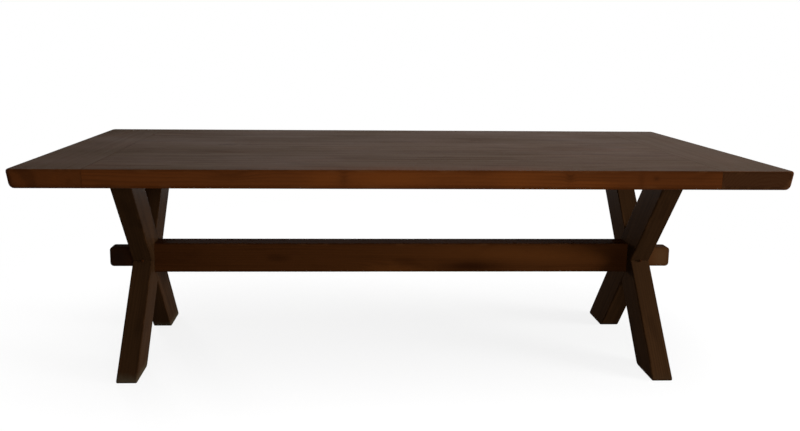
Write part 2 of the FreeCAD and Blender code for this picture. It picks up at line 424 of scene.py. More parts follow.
@dataclass(frozen=True)
class Grain:
    """How one timber lies in its tree.

    Attributes:
        axis: direction of the grain.
        pith: place of the tree's heart, across and deep, from the timber's axis.
        drift: how far the heart moves, across and deep, for each metre along.
        shift: offset of the figure, so that no two timbers match.
        tone: strength of the timber's colour, which on the trestles and the stretcher also holds painted
            shade.
        end_dark: how much darker its end grain is than its face, from 0 to 1.
        scuffed: strength of the paler tone at its foot, from 0 to 1.
        marks: knots and clouds that show, and painted patches of light and shade.
        middle: the timber's place in the table, so that the varnish runs on over its joints.
    """

    axis: Vector
    pith: Pair
    drift: Pair
    shift: Place
    tone: float = 1.0
    end_dark: float = 1.0
    scuffed: float = 0.0
    marks: tuple[Mark, ...] = ()
    middle: Place = (0.0, 0.0, 0.0)

    @classmethod
    def of(cls, name: str, axis: Vector, **looks: object) -> Grain:
        """Draw a grain at random.

        Args:
            name: the timber's name, which decides what is drawn.
            axis: direction of the grain.
            looks: the fields from tone on, where they differ.

        Returns:
            The timber's grain.
        """
        draw = random.Random(name)
        pith = (draw.uniform(-PITH_ACROSS, PITH_ACROSS), draw.choice((-1, 1)) * draw.uniform(*PITH_DEEP))
        drift = tuple(draw.uniform(-most, most) for most in DRIFT)
        shift = tuple(draw.uniform(-FIGURE_SHIFT, FIGURE_SHIFT) for _ in range(3))
        return cls(axis.normalized(), pith, drift, shift, **looks)


@dataclass(frozen=True)
class Pattern:
    """The sockets from which a timber's colour, roughness and relief are mixed.

    Attributes:
        plain: place from the timber's origin.
        shifted: place along, across and deep, with the timber's shift.
        marks: the timber's marks, each with its nearness.
        rings: strength of the ring lines.
        streak: noise of the streaks.
        fibre: noise of the fibres.
        cloud: noise of the lively clouds.
        coat: noise of the varnish, which varies its roughness and the painted sheen.
        up: 1 where a face looks up.
        end: 1 where a face shows end grain.
        dull: 1 where the varnish is dull.
    """

    plain: Sock
    shifted: Sock
    marks: list[tuple[Mark, Sock]]
    rings: Sock
    streak: Sock
    fibre: Sock
    cloud: Sock
    coat: Sock
    up: Sock
    end: Sock
    dull: Sock


@dataclass(frozen=True)
class Wood:
    """Stained solid wood under satin varnish.

    Attributes:
        name: the finish's name.
        early: tone between the ring lines.
        late: tone of the ring lines.
        deep: tone where the stain soaked in most, also of the darker marks, some of them painted shade.
        glow: tone of the lively orange figure, also of the lighter marks, some of them painted light.
        end: tone of end grain.
        build_up: how an arris is darkened.
        rubbed: tone where the finish is rubbed thin along an arris.
        dust: paler, greyer tone close to the floor.
        faded: greyer tone painted on a face that looks up, as a painted sheen.
        fade: strength of that painted sheen, from 0 to 1.
        ring: distance between ring lines.
        figure: strength of the ring lines, streaks and fibres.
        line_tone: strength of the ring lines on long grain.
        end_lines: strength of the ring lines on end grain.
        patch_ease: how much weaker the soaked patches are on a face that looks up.
        stain: strength of the darkening along an arris.
        sway: how far the grain wanders.
        rough: roughness of the varnish.
        end_rough: how much rougher end grain is.
        dull_rough: how much rougher dull varnish is.
        scuff_rough: how much rougher the foot is close to the floor.
        dull_end: places along the table between which the varnish goes from dull, at its left end, to plain.
        shine: specular level of the varnish.
        relief: height of the grain under the varnish.
        line_relief: share of the ring lines in that height.
        bump: strength of that relief.
    """

    name: str
    early: Rgb = display(90, 47, 19)
    late: Rgb = display(62, 30, 11)
    deep: Rgb = display(50, 24, 9)
    glow: Rgb = display(108, 56, 20)
    end: Rgb = display(60, 36, 20)
    build_up: Rgb = (0.5, 0.45, 0.4)
    rubbed: Rgb = display(126, 84, 50)
    dust: Rgb = display(96, 90, 72)
    # A painted sheen: a greyer tone mixed into faces that look up.
    faded: Rgb = display(102, 90, 77)
    fade: float = 0.0
    ring: float = 0.0085
    figure: float = 0.8
    line_tone: float = 0.45
    end_lines: float = 0.4
    patch_ease: float = 0.24
    stain: float = 0.4
    sway: float = 0.03
    rough: float = 0.4
    end_rough: float = 0.12
    dull_rough: float = 0.12
    scuff_rough: float = 0.25
    dull_end: Limits = (-1.3, -0.5)
    shine: float = 0.0025
    relief: float = 0.0004
    line_relief: float = 0.3
    bump: float = 0.35

    def material(self, grain: Grain, floor: float | None = None) -> bpy.types.Material:
        """Make the material of one timber.

        Args:
            grain: how the timber lies in its tree.
            floor: height of the floor in the timber's frame, where its low end stands there and turns paler.

        Returns:
            The material.
        """
        made = bpy.data.materials.new(self.name)
        graph = Graph(made)
        pattern = self.pattern(graph, grain)
        ends = graph.mix(pattern.rings * self.end_lines, self.end, self.deep)
        colour = graph.mix(pattern.end * grain.end_dark, self.long_grain(graph, pattern), ends)
        colour = graph.mix(1.0, colour, (grain.tone,) * 3, "MULTIPLY")
        colour = self.along_arrises(graph, pattern, colour)
        rough = self.roughness(pattern)
        if floor is not None:
            # Paler, greyer tone and rougher varnish close to the floor.
            scuff = self.scuff(graph, pattern.plain, floor)
            colour = graph.mix(scuff * grain.scuffed, colour, self.dust)
            rough = rough + scuff * self.scuff_rough
        lines = pattern.rings * self.line_relief
        height = lines + pattern.fibre * FIBRE.relief + pattern.streak * STREAK.relief
        graph.surface(graph.node("BsdfPrincipled", "BSDF", {
            "Base Color": colour,
            "Roughness": rough,
            "Normal": graph.bump(height, self.relief, self.bump),
            "Specular IOR Level": self.shine,
        }))
        return made

    def pattern(self, graph: Graph, grain: Grain) -> Pattern:
        """Lay out a timber's figure.

        Args:
            graph: the material's tree.
            grain: how the timber lies in its tree.

        Returns:
            The sockets to mix the finish from.
        """
        plain = graph.node("TexCoord", "Object")
        turn = {"Vector": plain, "Rotation": axis_pose(grain.axis, Vector()).to_euler()}
        place = graph.node("VectorRotate", inputs=turn, rotation_type="EULER_XYZ", invert=True)
        shifted = graph.vector("ADD", place, grain.shift)
        wander = graph.vector("SUBTRACT", graph.noise(shifted, WANDER, "Color"), (NOISE_MEAN,) * 3)
        swayed = graph.vector("ADD", place, graph.vector("MULTIPLY", wander, (0, self.sway, self.sway)))
        marks = [(mark, self.nearness(graph, swayed, mark)) for mark in grain.marks]
        table = graph.vector("ADD", plain, grain.middle)
        down_the_table = graph.node("SeparateXYZ", "X", {"Vector": table})
        return Pattern(
            plain=plain,
            shifted=shifted,
            marks=marks,
            rings=self.rings(graph, swayed, shifted, grain, marks),
            streak=graph.noise(shifted, STREAK),
            fibre=graph.noise(shifted, FIBRE),
            cloud=graph.noise(shifted, CLOUD),
            coat=graph.noise(table, COAT),
            up=graph.rise(self.facing(graph, UP), *LOOKS_UP),
            end=graph.rise(graph.math("ABSOLUTE", self.facing(graph, grain.axis)), *LOOKS_ALONG),
            dull=1 - graph.rise(down_the_table, *self.dull_end),
        )

    def long_grain(self, graph: Graph, pattern: Pattern) -> Sock:
        """Mix the colour of a face along the grain.

        Args:
            graph: the material's tree.
            pattern: the timber's figure.

        Returns:
            The colour.
        """
        early = graph.mix(graph.rise(pattern.cloud, *CLOUD.span) * CLOUD.strength, self.early, self.glow)
        # Painted sheen: faces that look up turn greyer, more so where the varnish noise is high.
        painted_sheen_share = (1 - COAT.strength) + graph.rise(pattern.coat, *COAT.span) * COAT.strength
        early = graph.mix(pattern.up * painted_sheen_share * self.fade, early, self.faded)
        lines = pattern.rings * graph.rise(pattern.cloud, *LINE_SPAN)
        colour = graph.mix(lines * (self.line_tone * self.figure), early, self.late)
        soaked = graph.rise(graph.noise(pattern.shifted, PATCH), *PATCH.span)
        colour = graph.mix(soaked * (PATCH.strength - pattern.up * self.patch_ease), colour, self.deep)
        for value, layer in ((pattern.streak, STREAK), (pattern.fibre, FIBRE)):
            share = graph.rise(value, *layer.span) * (layer.strength * self.figure)
            colour = graph.mix(share, colour, self.deep)
        # Marks darken or lighten the wood: some are knots and clouds, others painted light and shade.
        for mark, near in pattern.marks:
            tone = mark.tone or (self.deep if mark.dark > 0 else self.glow)
            colour = graph.mix(near * abs(mark.dark), colour, tone)
        return colour

    def along_arrises(self, graph: Graph, pattern: Pattern, colour: Sock) -> Sock:
        """Darken a timber's arrises, and rub them thin in spots.

        Args:
            graph: the material's tree.
            pattern: the timber's figure.
            colour: the timber's colour without its arrises.

        Returns:
            The colour with them.
        """
        arris = graph.node("Attribute", "Fac", attribute_name=ARRIS)
        worn = arris * graph.rise(graph.noise(pattern.shifted, WEAR), *WEAR.span)
        darkened = graph.mix(1.0, colour, self.build_up, "MULTIPLY")
        colour = graph.mix(arris * self.stain, colour, darkened)
        return graph.mix(worn * WEAR.strength, colour, self.rubbed)

    def roughness(self, pattern: Pattern) -> Sock:
        """Vary the varnish's roughness.

        Args:
            pattern: the timber's figure.

        Returns:
            The roughness.
        """
        rough = self.rough
        for value, layer in ((pattern.coat, COAT), (pattern.streak, STREAK), (pattern.fibre, FIBRE)):
            rough = rough + (value - NOISE_MEAN) * layer.rough
        return rough + pattern.end * self.end_rough + pattern.dull * self.dull_rough

    @staticmethod
    def nearness(graph: Graph, place: Sock, mark: Mark) -> Sock:
        """Measure how near a place is to a mark.

        Args:
            graph: the material's tree.
            place: place along, across and deep.
            mark: the mark.

        Returns:
            1 in the middle of the mark, fading to 0 round it.
        """
        away = graph.vector("SUBTRACT", place, mark.at)
        reaches = graph.vector("MULTIPLY", away, [1 / size for size in mark.reach])
        return graph.math("EXPONENT", graph.vector("DOT_PRODUCT", reaches, reaches, "Value") * -1)

    def rings(self, graph: Graph, place: Sock, shifted: Sock, grain: Grain,
              marks: Sequence[tuple[Mark, Sock]]) -> Sock:
        """Draw growth rings round the tree's heart, which bow round the marks.

        Args:
            graph: the material's tree.
            place: place along, across and deep, which sways with the grain.
            shifted: the same place without sway, with the timber's shift.
            grain: how the timber lies in its tree.
            marks: the timber's marks, each with its nearness.

        Returns:
            Strength of the ring lines.
        """
        along, across, deep = (graph.node("SeparateXYZ", axis, {"Vector": place}) for axis in "XYZ")
        across = across - grain.pith[0] + along * grain.drift[0]
        deep = deep - grain.pith[1] + along * grain.drift[1]
        radius = graph.math("SQRT", across * across + deep * deep)
        for mark, near in marks:
            radius = radius + near * mark.flow
        phase = graph.math("FRACT", radius / self.ring + graph.noise(shifted, PACE) * PACE.strength)
        return graph.rise(phase, *LINE_GROWS) * (1 - graph.rise(phase, *LINE_ENDS))

    @staticmethod
    def facing(graph: Graph, way: Vector) -> Sock:
        """How far a face looks a way, from -1 to 1."""
        return graph.vector("DOT_PRODUCT", graph.node("TexCoord", "Normal"), way, "Value")

    @staticmethod
    def scuff(graph: Graph, place: Sock, floor: float) -> Sock:
        """Find the part of a foot close to the floor.

        Args:
            graph: the material's tree.
            place: place from the timber's origin.
            floor: height of the floor there.

        Returns:
            1 at the floor, fading to 0 above it.
        """
        height = graph.node("SeparateXYZ", "Z", {"Vector": place}) - floor
        ragged = height + (graph.noise(place, RAGGED_EDGE) - NOISE_MEAN) * RAGGED_EDGE.strength
        return 1 - graph.rise(ragged, *PALE_FOOT_HEIGHTS)


@dataclass(frozen=True)
class Steel:
    """Zinc-plated steel that has gone dull.

    Attributes:
        name: the finish's name.
        bright: tone of the plating.
        dull: tone of its dull patches.
        stain: tone of the brown freckles.
        rough: least roughness.
        freckle_cover: how much of the metal a freckle hides.
        relief: height of the dull patches.
        bump: strength of that relief.
    """

    name: str
    bright: Rgb = (0.42, 0.41, 0.39)
    dull: Rgb = (0.24, 0.235, 0.225)
    stain: Rgb = display(92, 62, 42)
    rough: float = 0.3
    freckle_cover: float = 0.7
    relief: float = 0.0001
    bump: float = 0.2

    def material(self) -> bpy.types.Material:
        """Make the material.

        Returns:
            The material.
        """
        made = bpy.data.materials.new(self.name)
        graph = Graph(made)
        place = graph.node("TexCoord", "Object")
        mottle = graph.noise(place, MOTTLE)
        freckle = graph.rise(graph.noise(place, FRECKLE), *FRECKLE.span)
        colour = graph.mix(graph.rise(mottle, *MOTTLE.span), self.bright, self.dull)
        colour = graph.mix(freckle * FRECKLE.strength, colour, self.stain)
        graph.surface(graph.node("BsdfPrincipled", "BSDF", {
            "Base Color": colour,
            "Roughness": self.rough + mottle * MOTTLE.rough,
            "Metallic": 1 - freckle * self.freckle_cover,
            "Normal": graph.bump(mottle, self.relief, self.bump),
        }))
        return made


# Meshes


@dataclass(frozen=True)
class Ring:
    """One cross-section of a timber.

    Attributes:
        at: place along the length.
        width: limits across the width.
        depth: limits across the depth.
        rounds: corner radii at low-low, high-low, high-high and low-high width and depth.
        lean: how far the high side of the width draws in towards the low side of the depth.
        stretch: length of the corners' arcs along the width, as a share of their radius.
        edge: arris strength of all its points, or None where only its corners are arrises.
    """

    at: float
    width: Limits
    depth: Limits
    rounds: tuple[float, float, float, float]
    lean: float = 0.0
    stretch: float = 1.0
    edge: float | None = None

    def inset(self, by: float, edge: float | None = None) -> Ring:
        """The same section, smaller by a margin all round."""
        return replace(self, width=narrowed(self.width, by), depth=narrowed(self.depth, by), edge=edge)


@dataclass(frozen=True)
class Sweeper:
    """Joins cross-sections into a closed mesh.

    Attributes:
        arc_steps: faces round a corner.
        width_steps: faces across the width, between the guard lines.
        depth_steps: faces across the depth, between the guard lines.
        guard: distance of the guard lines from an arris.
        guard_share: largest share of a flat that lies outside a guard line.
        cap_share: largest share of a section that its end face draws in by.
    """

    arc_steps: int = 4
    width_steps: int = 4
    depth_steps: int = 2
    guard: float = GUARD
    guard_share: float = 0.25
    cap_share: float = 0.2

    def points(self, ring: Ring) -> list[Spot]:
        """Place the points round a cross-section.

        Args:
            ring: the cross-section.

        Returns:
            Places across the width and the depth, with the arris strength.
        """
        found: list[Spot] = []
        corners = ((0, 0, math.pi), (1, 0, 1.5 * math.pi), (1, 1, 0.0), (0, 1, 0.5 * math.pi))
        for (right, high, start), radius in zip(corners, ring.rounds):
            wide = radius * ring.stretch
            across = ring.width[right] + (-wide if right else wide)
            deep = ring.depth[high] + (-radius if high else radius)
            for step in range(self.arc_steps + 1):
                turn = start + step / self.arc_steps * math.pi / 2
                found.append((across + wide * math.cos(turn), deep + radius * math.sin(turn), 1.0))
        outline: list[Spot] = []
        per_corner = self.arc_steps + 1
        for corner in range(4):
            arc = found[corner * per_corner:(corner + 1) * per_corner]
            following = found[(corner + 1) * per_corner % len(found)]
            steps = self.depth_steps if corner % 2 else self.width_steps
            outline += arc + self.flat(arc[-1], following, steps)
        return [self.leaning(ring, spot) for spot in outline]

    def flat(self, start: Spot, end: Spot, steps: int) -> list[Spot]:
        """Place the inner points of a flat between two corners.

        Args:
            start: last point of one corner.
            end: first point of the next.
            steps: faces between the guard lines.

        Returns:
            The points, the first and last on the guard lines.
        """
        length = math.hypot(end[0] - start[0], end[1] - start[1])
        margin = min(self.guard / length, self.guard_share) if length > WELD else self.guard_share
        shares = [margin + (1 - 2 * margin) * step / steps for step in range(steps + 1)]
        return [(start[0] + (end[0] - start[0]) * share, start[1] + (end[1] - start[1]) * share, 0.0)
                for share in shares]

    @staticmethod
    def leaning(ring: Ring, spot: Spot) -> Spot:
        """Give a section's point the lean and arris strength of its ring.

        Args:
            ring: the cross-section.
            spot: the point without lean.

        Returns:
            The point.
        """
        wide, deep, edge = spot
        drop = (ring.depth[1] - deep) / (ring.depth[1] - ring.depth[0])
        reach = (wide - ring.width[0]) / (ring.width[1] - ring.width[0])
        return wide - ring.lean * drop * reach, deep, edge if ring.edge is None else ring.edge

    def sweep(self, rings: Sequence[Ring], run: Run) -> bmesh.types.BMesh:
        """Join rings into a closed mesh.

        Args:
            rings: cross-sections in order along the length.
            run: the axes of the length, the width and the depth.

        Returns:
            The mesh, with its arris strengths.
        """
        mesh = bmesh.new()
        layer = mesh.verts.layers.float.new(ARRIS)
        first, last = rings[0], rings[-1]
        narrow = min(first.depth[1] - first.depth[0], first.width[1] - first.width[0])
        cap = min(self.guard, self.cap_share * narrow)
        loops = []
        for ring in (first.inset(cap, 0.0), *rings, last.inset(cap, 0.0)):
            loop = []
            for wide, deep, edge in self.points(ring):
                spot = dict(zip(run.value, (ring.at, wide, deep)))
                vert = mesh.verts.new((spot[0], spot[1], spot[2]))
                vert[layer] = edge
                loop.append(vert)
            loops.append(loop)
        return closed_up(mesh, loops)


def skin(mesh: bmesh.types.BMesh, loops: Sequence[Sequence[bmesh.types.BMVert]]) -> None:
    """Lay faces between loops of equal length.

    Args:
        mesh: the mesh that gets the faces.
        loops: its loops, in order.
    """
    for near, far in zip(loops, loops[1:]):
        for index, vert in enumerate(near):
            after = (index + 1) % len(near)
            mesh.faces.new((vert, near[after], far[after], far[index]))


def closed_up(mesh: bmesh.types.BMesh, loops: Sequence[Sequence[bmesh.types.BMVert]],
              ends: bool = True) -> bmesh.types.BMesh:
    """Close a mesh over its loops.

    Args:
        mesh: the mesh, which has only points yet.
        loops: its loops, in order.
        ends: whether the first and the last loop get a face, or else are joined to each other.

    Returns:
        The mesh, with its faces turned outward.
    """
    skin(mesh, loops if ends else [*loops, loops[0]])
    if ends:
        for loop in (loops[0], loops[-1]):
            mesh.faces.new(loop)
    bmesh.ops.remove_doubles(mesh, verts=mesh.verts, dist=WELD)
    bmesh.ops.recalc_face_normals(mesh, faces=mesh.faces)
    return mesh


def stations(low: float, high: float, step: float, guard: float) -> list[float]:
    """Divide a length.

    Args:
        low: its low end.
        high: its high end.
        step: rough distance between stations.
        guard: distance of the guard lines from the ends.

    Returns:
        Its ends, a guard line by each, and even steps between.
    """
    count = max(1, round((high - low - 2 * guard) / step))
    inner = [low + guard + (high - low - 2 * guard) * index / count for index in range(count + 1)]
    return [low, *inner, high]


def drawn_in(radius: float, distance: float) -> float:
    """Work out how far a rounded corner draws in.

    Args:
        radius: the corner's radius.
        distance: distance from where its face ends.

    Returns:
        How far the corner draws in there.
    """
    if distance >= radius:
        return 0.0
    return radius - math.sqrt(radius * radius - (radius - distance) ** 2)


def arc_places(radius: float, steps: int = 5) -> list[float]:
    """Distances from a face at which a rounded corner needs points, the face included."""
    return [radius * (1 - math.cos(step / steps * math.pi / 2)) for step in range(steps + 1)]


def hand_work(mesh: bmesh.types.BMesh, name: str, depth: float = 0.00025, pitch: float = 0.09) -> None:
    """Take shallow hollows out of a surface, as a hand plane leaves them.

    Args:
        mesh: the mesh, which only ever loses material.
        name: the timber's name, which places the hollows.
        depth: depth of the deepest hollow.
        pitch: distance between hollows.
    """
    draw = random.Random(name + " plane")
    shift = Vector([draw.uniform(-HOLLOW_SHIFT, HOLLOW_SHIFT) for _ in range(3)])
    mesh.normal_update()
    moves = []
    for vert in mesh.verts:
        bite = 0.5 + 0.5 * noise.noise(vert.co / pitch + shift)
        moves.append((vert, vert.normal * depth * bite))
    for vert, move in moves:
        vert.co -= move


def lathe(profile: Profile, sides: int, shape: Shape | None = None, ends: bool = True) -> bmesh.types.BMesh:
    """Turn a profile round the X axis.

    Args:
        profile: places along the axis, with radii.
        sides: faces round the axis.
        shape: gives a point's radius from its number in the profile, its plain radius and its turn.
        ends: whether the profile is a line between two end faces, or else a closed outline.

    Returns:
        The mesh.
    """
    mesh = bmesh.new()
    mesh.verts.layers.float.new(ARRIS)
    loops = []
    for number, (along, radius) in enumerate(profile):
        loop = []
        for side in range(sides):
            turn = 2 * math.pi * side / sides
            out = shape(number, radius, turn) if shape else radius
            loop.append(mesh.verts.new((along, out * math.cos(turn), out * math.sin(turn))))
        loops.append(loop)
    return closed_up(mesh, loops, ends)


def block(x: Limits, y: Limits, z: Limits) -> bmesh.types.BMesh:
    """Make a straight cutter.

    Args:
        x: its limits along the table.
        y: its limits across the table.
        z: its limits in height.

    Returns:
        The cutter.
    """
    mesh = bmesh.new()
    middle = Vector([sum(limits) / 2 for limits in (x, y, z)])
    size = [limits[1] - limits[0] for limits in (x, y, z)]
    bmesh.ops.create_cube(mesh, size=1, matrix=Matrix.Translation(middle) @ Matrix.Diagonal((*size, 1)))
    return mesh


def rod(start: Vector, end: Vector, radius: float, sides: int = 24) -> bmesh.types.BMesh:
    """Make a round cutter.

    Args:
        start: one end of its axis.
        end: the other end.
        radius: its radius.
        sides: faces round it.

    Returns:
        The cutter.
    """
    mesh = lathe([(0.0, radius), ((end - start).length, radius)], sides)
    mesh.transform(axis_pose(end - start, start))
    return mesh


def together(shapes: Iterable[bmesh.types.BMesh]) -> bmesh.types.BMesh:
    """Gather several meshes.

    Args:
        shapes: the meshes, which are freed.

    Returns:
        All of them as one mesh.
    """
    whole = bmesh.new()
    for shape in shapes:
        holder = bpy.data.meshes.new("part")
        shape.to_mesh(holder)
        shape.free()
        whole.from_mesh(holder)
        bpy.data.meshes.remove(holder)
    return whole


def axis_pose(along: Vector, origin: Vector) -> Matrix:
    """Make a frame whose X axis looks along a direction.

    Args:
        along: the direction.
        origin: the frame's place.

    Returns:
        The frame.
    """
    first = along.normalized()
    helper = UP if abs(first.z) < STEEP else ALONG
    second = helper.cross(first).normalized()
    pose = Matrix((first, second, first.cross(second))).transposed().to_4x4()
    pose.translation = origin
    return pose


def new_object(name: str, mesh: bmesh.types.BMesh, origin: Vector) -> bpy.types.Object:
    """Put a mesh in the scene.

    Args:
        name: the object's name.
        mesh: its mesh in the row frame, which is freed.
        origin: the object's own origin.

    Returns:
        The object.
    """
    mesh.transform(Matrix.Translation(-origin))
    data = bpy.data.meshes.new(name)
    mesh.to_mesh(data)
    mesh.free()
    made = bpy.data.objects.new(name, data)
    bpy.context.scene.collection.objects.link(made)
    made.location = origin
    return made


def carve(target: bpy.types.Object, *cutters: bmesh.types.BMesh) -> None:
    """Cut shapes out of an object, one after another.

    Args:
        target: the object, whose mesh is replaced.
        cutters: closed meshes in the row frame, which are freed.
    """
    for cutter in cutters:
        tool = new_object("cutter", cutter, Vector())
        cut = target.modifiers.new("cut", "BOOLEAN")
        cut.operation = "DIFFERENCE"
        cut.solver = "EXACT"
        cut.object = tool
        bpy.context.view_layer.update()
        graph = bpy.context.evaluated_depsgraph_get()
        carved = bpy.data.meshes.new_from_object(target.evaluated_get(graph))
        target.modifiers.remove(cut)
        old = target.data
        target.data = carved
        carved.name = target.name
        bpy.data.meshes.remove(old)
        bpy.data.objects.remove(tool)


def dress(piece: bpy.types.Object, material: bpy.types.Material, node: str) -> None:
    """Finish a piece and put it in the place of a CAD node.

    Args:
        piece: the new piece, in place.
        material: its finish.
        node: the CAD node that it stands for.
    """
    data = piece.data
    data.materials.clear()
    data.materials.append(material)
    data.polygons.foreach_set("use_smooth", [True] * len(data.polygons))
    data.set_sharp_from_angle(angle=SMOOTH_ANGLE)
    steady = piece.modifiers.new("flat_faces", "WEIGHTED_NORMAL")
    steady.keep_sharp = True
    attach(piece, BODY)
    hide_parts(node)
    log.info("%s: %d faces, stands for %s", piece.name, len(data.polygons), node)


def solids(node: bpy.types.Object) -> list[Box]:
    """Find the separate solids of a CAD node.

    Args:
        node: the node's object.

    Returns:
        Low and high corner of each solid, from front to rear.
    """
    mesh = bmesh.new()
    mesh.from_mesh(node.data)
    bmesh.ops.remove_doubles(mesh, verts=mesh.verts, dist=WELD)
    left = set(mesh.verts)
    boxes = []
    while left:
        group = [left.pop()]
        for vert in group:
            fresh = [edge.other_vert(vert) for edge in vert.link_edges if edge.other_vert(vert) in left]
            left.difference_update(fresh)
            group += fresh
        axes = list(zip(*(vert.co for vert in group)))
        boxes.append((Vector([min(axis) for axis in axes]), Vector([max(axis) for axis in axes])))
    mesh.free()
    return sorted(boxes, key=lambda box: box[0].y)


# Sub-assemblies


@dataclass
class Pegs:
    """Turned and shaved pegs.

    Attributes:
        finish: their wood.
        tone: strength of their colour.
        chamfer: size of the chamfer on their ends.
        shave: how much the knife's flats vary their radius.
        waist: radius at the middle, as a share of that at the ends.
        inner_ring: radius of the inner ring of an end face, as a share of the face's own.
        sides: flats round a peg.
    """

    finish: Wood
    tone: float = 0.5
    chamfer: float = 0.0012
    shave: float = 0.03
    waist: float = 0.995
    inner_ring: float = 0.55
    sides: int = 14

    @staticmethod
    def ends(box: Box) -> tuple[Vector, Vector, float]:
        """Find a peg's axis.

        Args:
            box: the peg's low and high corner.

        Returns:
            Both ends of the axis, and the peg's radius.
        """
        size = box[1] - box[0]
        axis = max(range(3), key=lambda index: size[index])
        middle = (box[0] + box[1]) / 2
        half = Vector([size[axis] / 2 if index == axis else 0 for index in range(3)])
        return middle - half, middle + half, min(size) / 2

    def holes(self, node: bpy.types.Object, clearance: float) -> bmesh.types.BMesh:
        """Make the cutters for a node's pegs.

        Args:
            node: the pegs' CAD node.
            clearance: room round a peg.

        Returns:
            Round cutters, which run out past the pegs' low ends.
        """
        rods = []
        for box in solids(node):
            start, end, radius = self.ends(box)
            spare = (end - start).normalized() * OVERRUN
            rods.append(rod(start - spare, end, radius + clearance))
        return together(rods)

    def peg(self, box: Box, name: str) -> bmesh.types.BMesh:
        """Make one peg.

        Args:
            box: its low and high corner.
            name: its name, which decides how the knife's flats fall.

        Returns:
            The peg, in the row frame.
        """
        start, end, radius = self.ends(box)
        length = (end - start).length
        draw = random.Random(name)
        flats = [1 - self.shave * draw.random() for _ in range(self.sides)]
        thin = radius - self.chamfer
        inner = thin * self.inner_ring
        profile = [(0.0, inner), (0.0, thin), (self.chamfer, radius), (length / 2, radius * self.waist),
                   (length - self.chamfer, radius), (length, thin), (length, inner)]

        def shaved(_: int, plain: float, turn: float) -> float:
            """Radius of the flat at a turn."""
            return plain * flats[round(turn / (2 * math.pi) * self.sides) % self.sides]

        mesh = lathe(profile, self.sides, shaved)
        mesh.transform(axis_pose(end - start, start))
        return mesh

    def build(self, node: bpy.types.Object) -> None:
        """Make all the pegs of a node as one piece.

        Args:
            node: the pegs' CAD node.
        """
        boxes = solids(node)
        start, end, _ = self.ends(boxes[0])
        name = node.name + "_turned"
        mesh = together(self.peg(box, f"{name} {number}") for number, box in enumerate(boxes))
        piece = new_object(name, mesh, (start + end) / 2)
        grain = Grain.of(name, end - start, tone=self.tone)
        dress(piece, self.finish.material(grain), node.name)


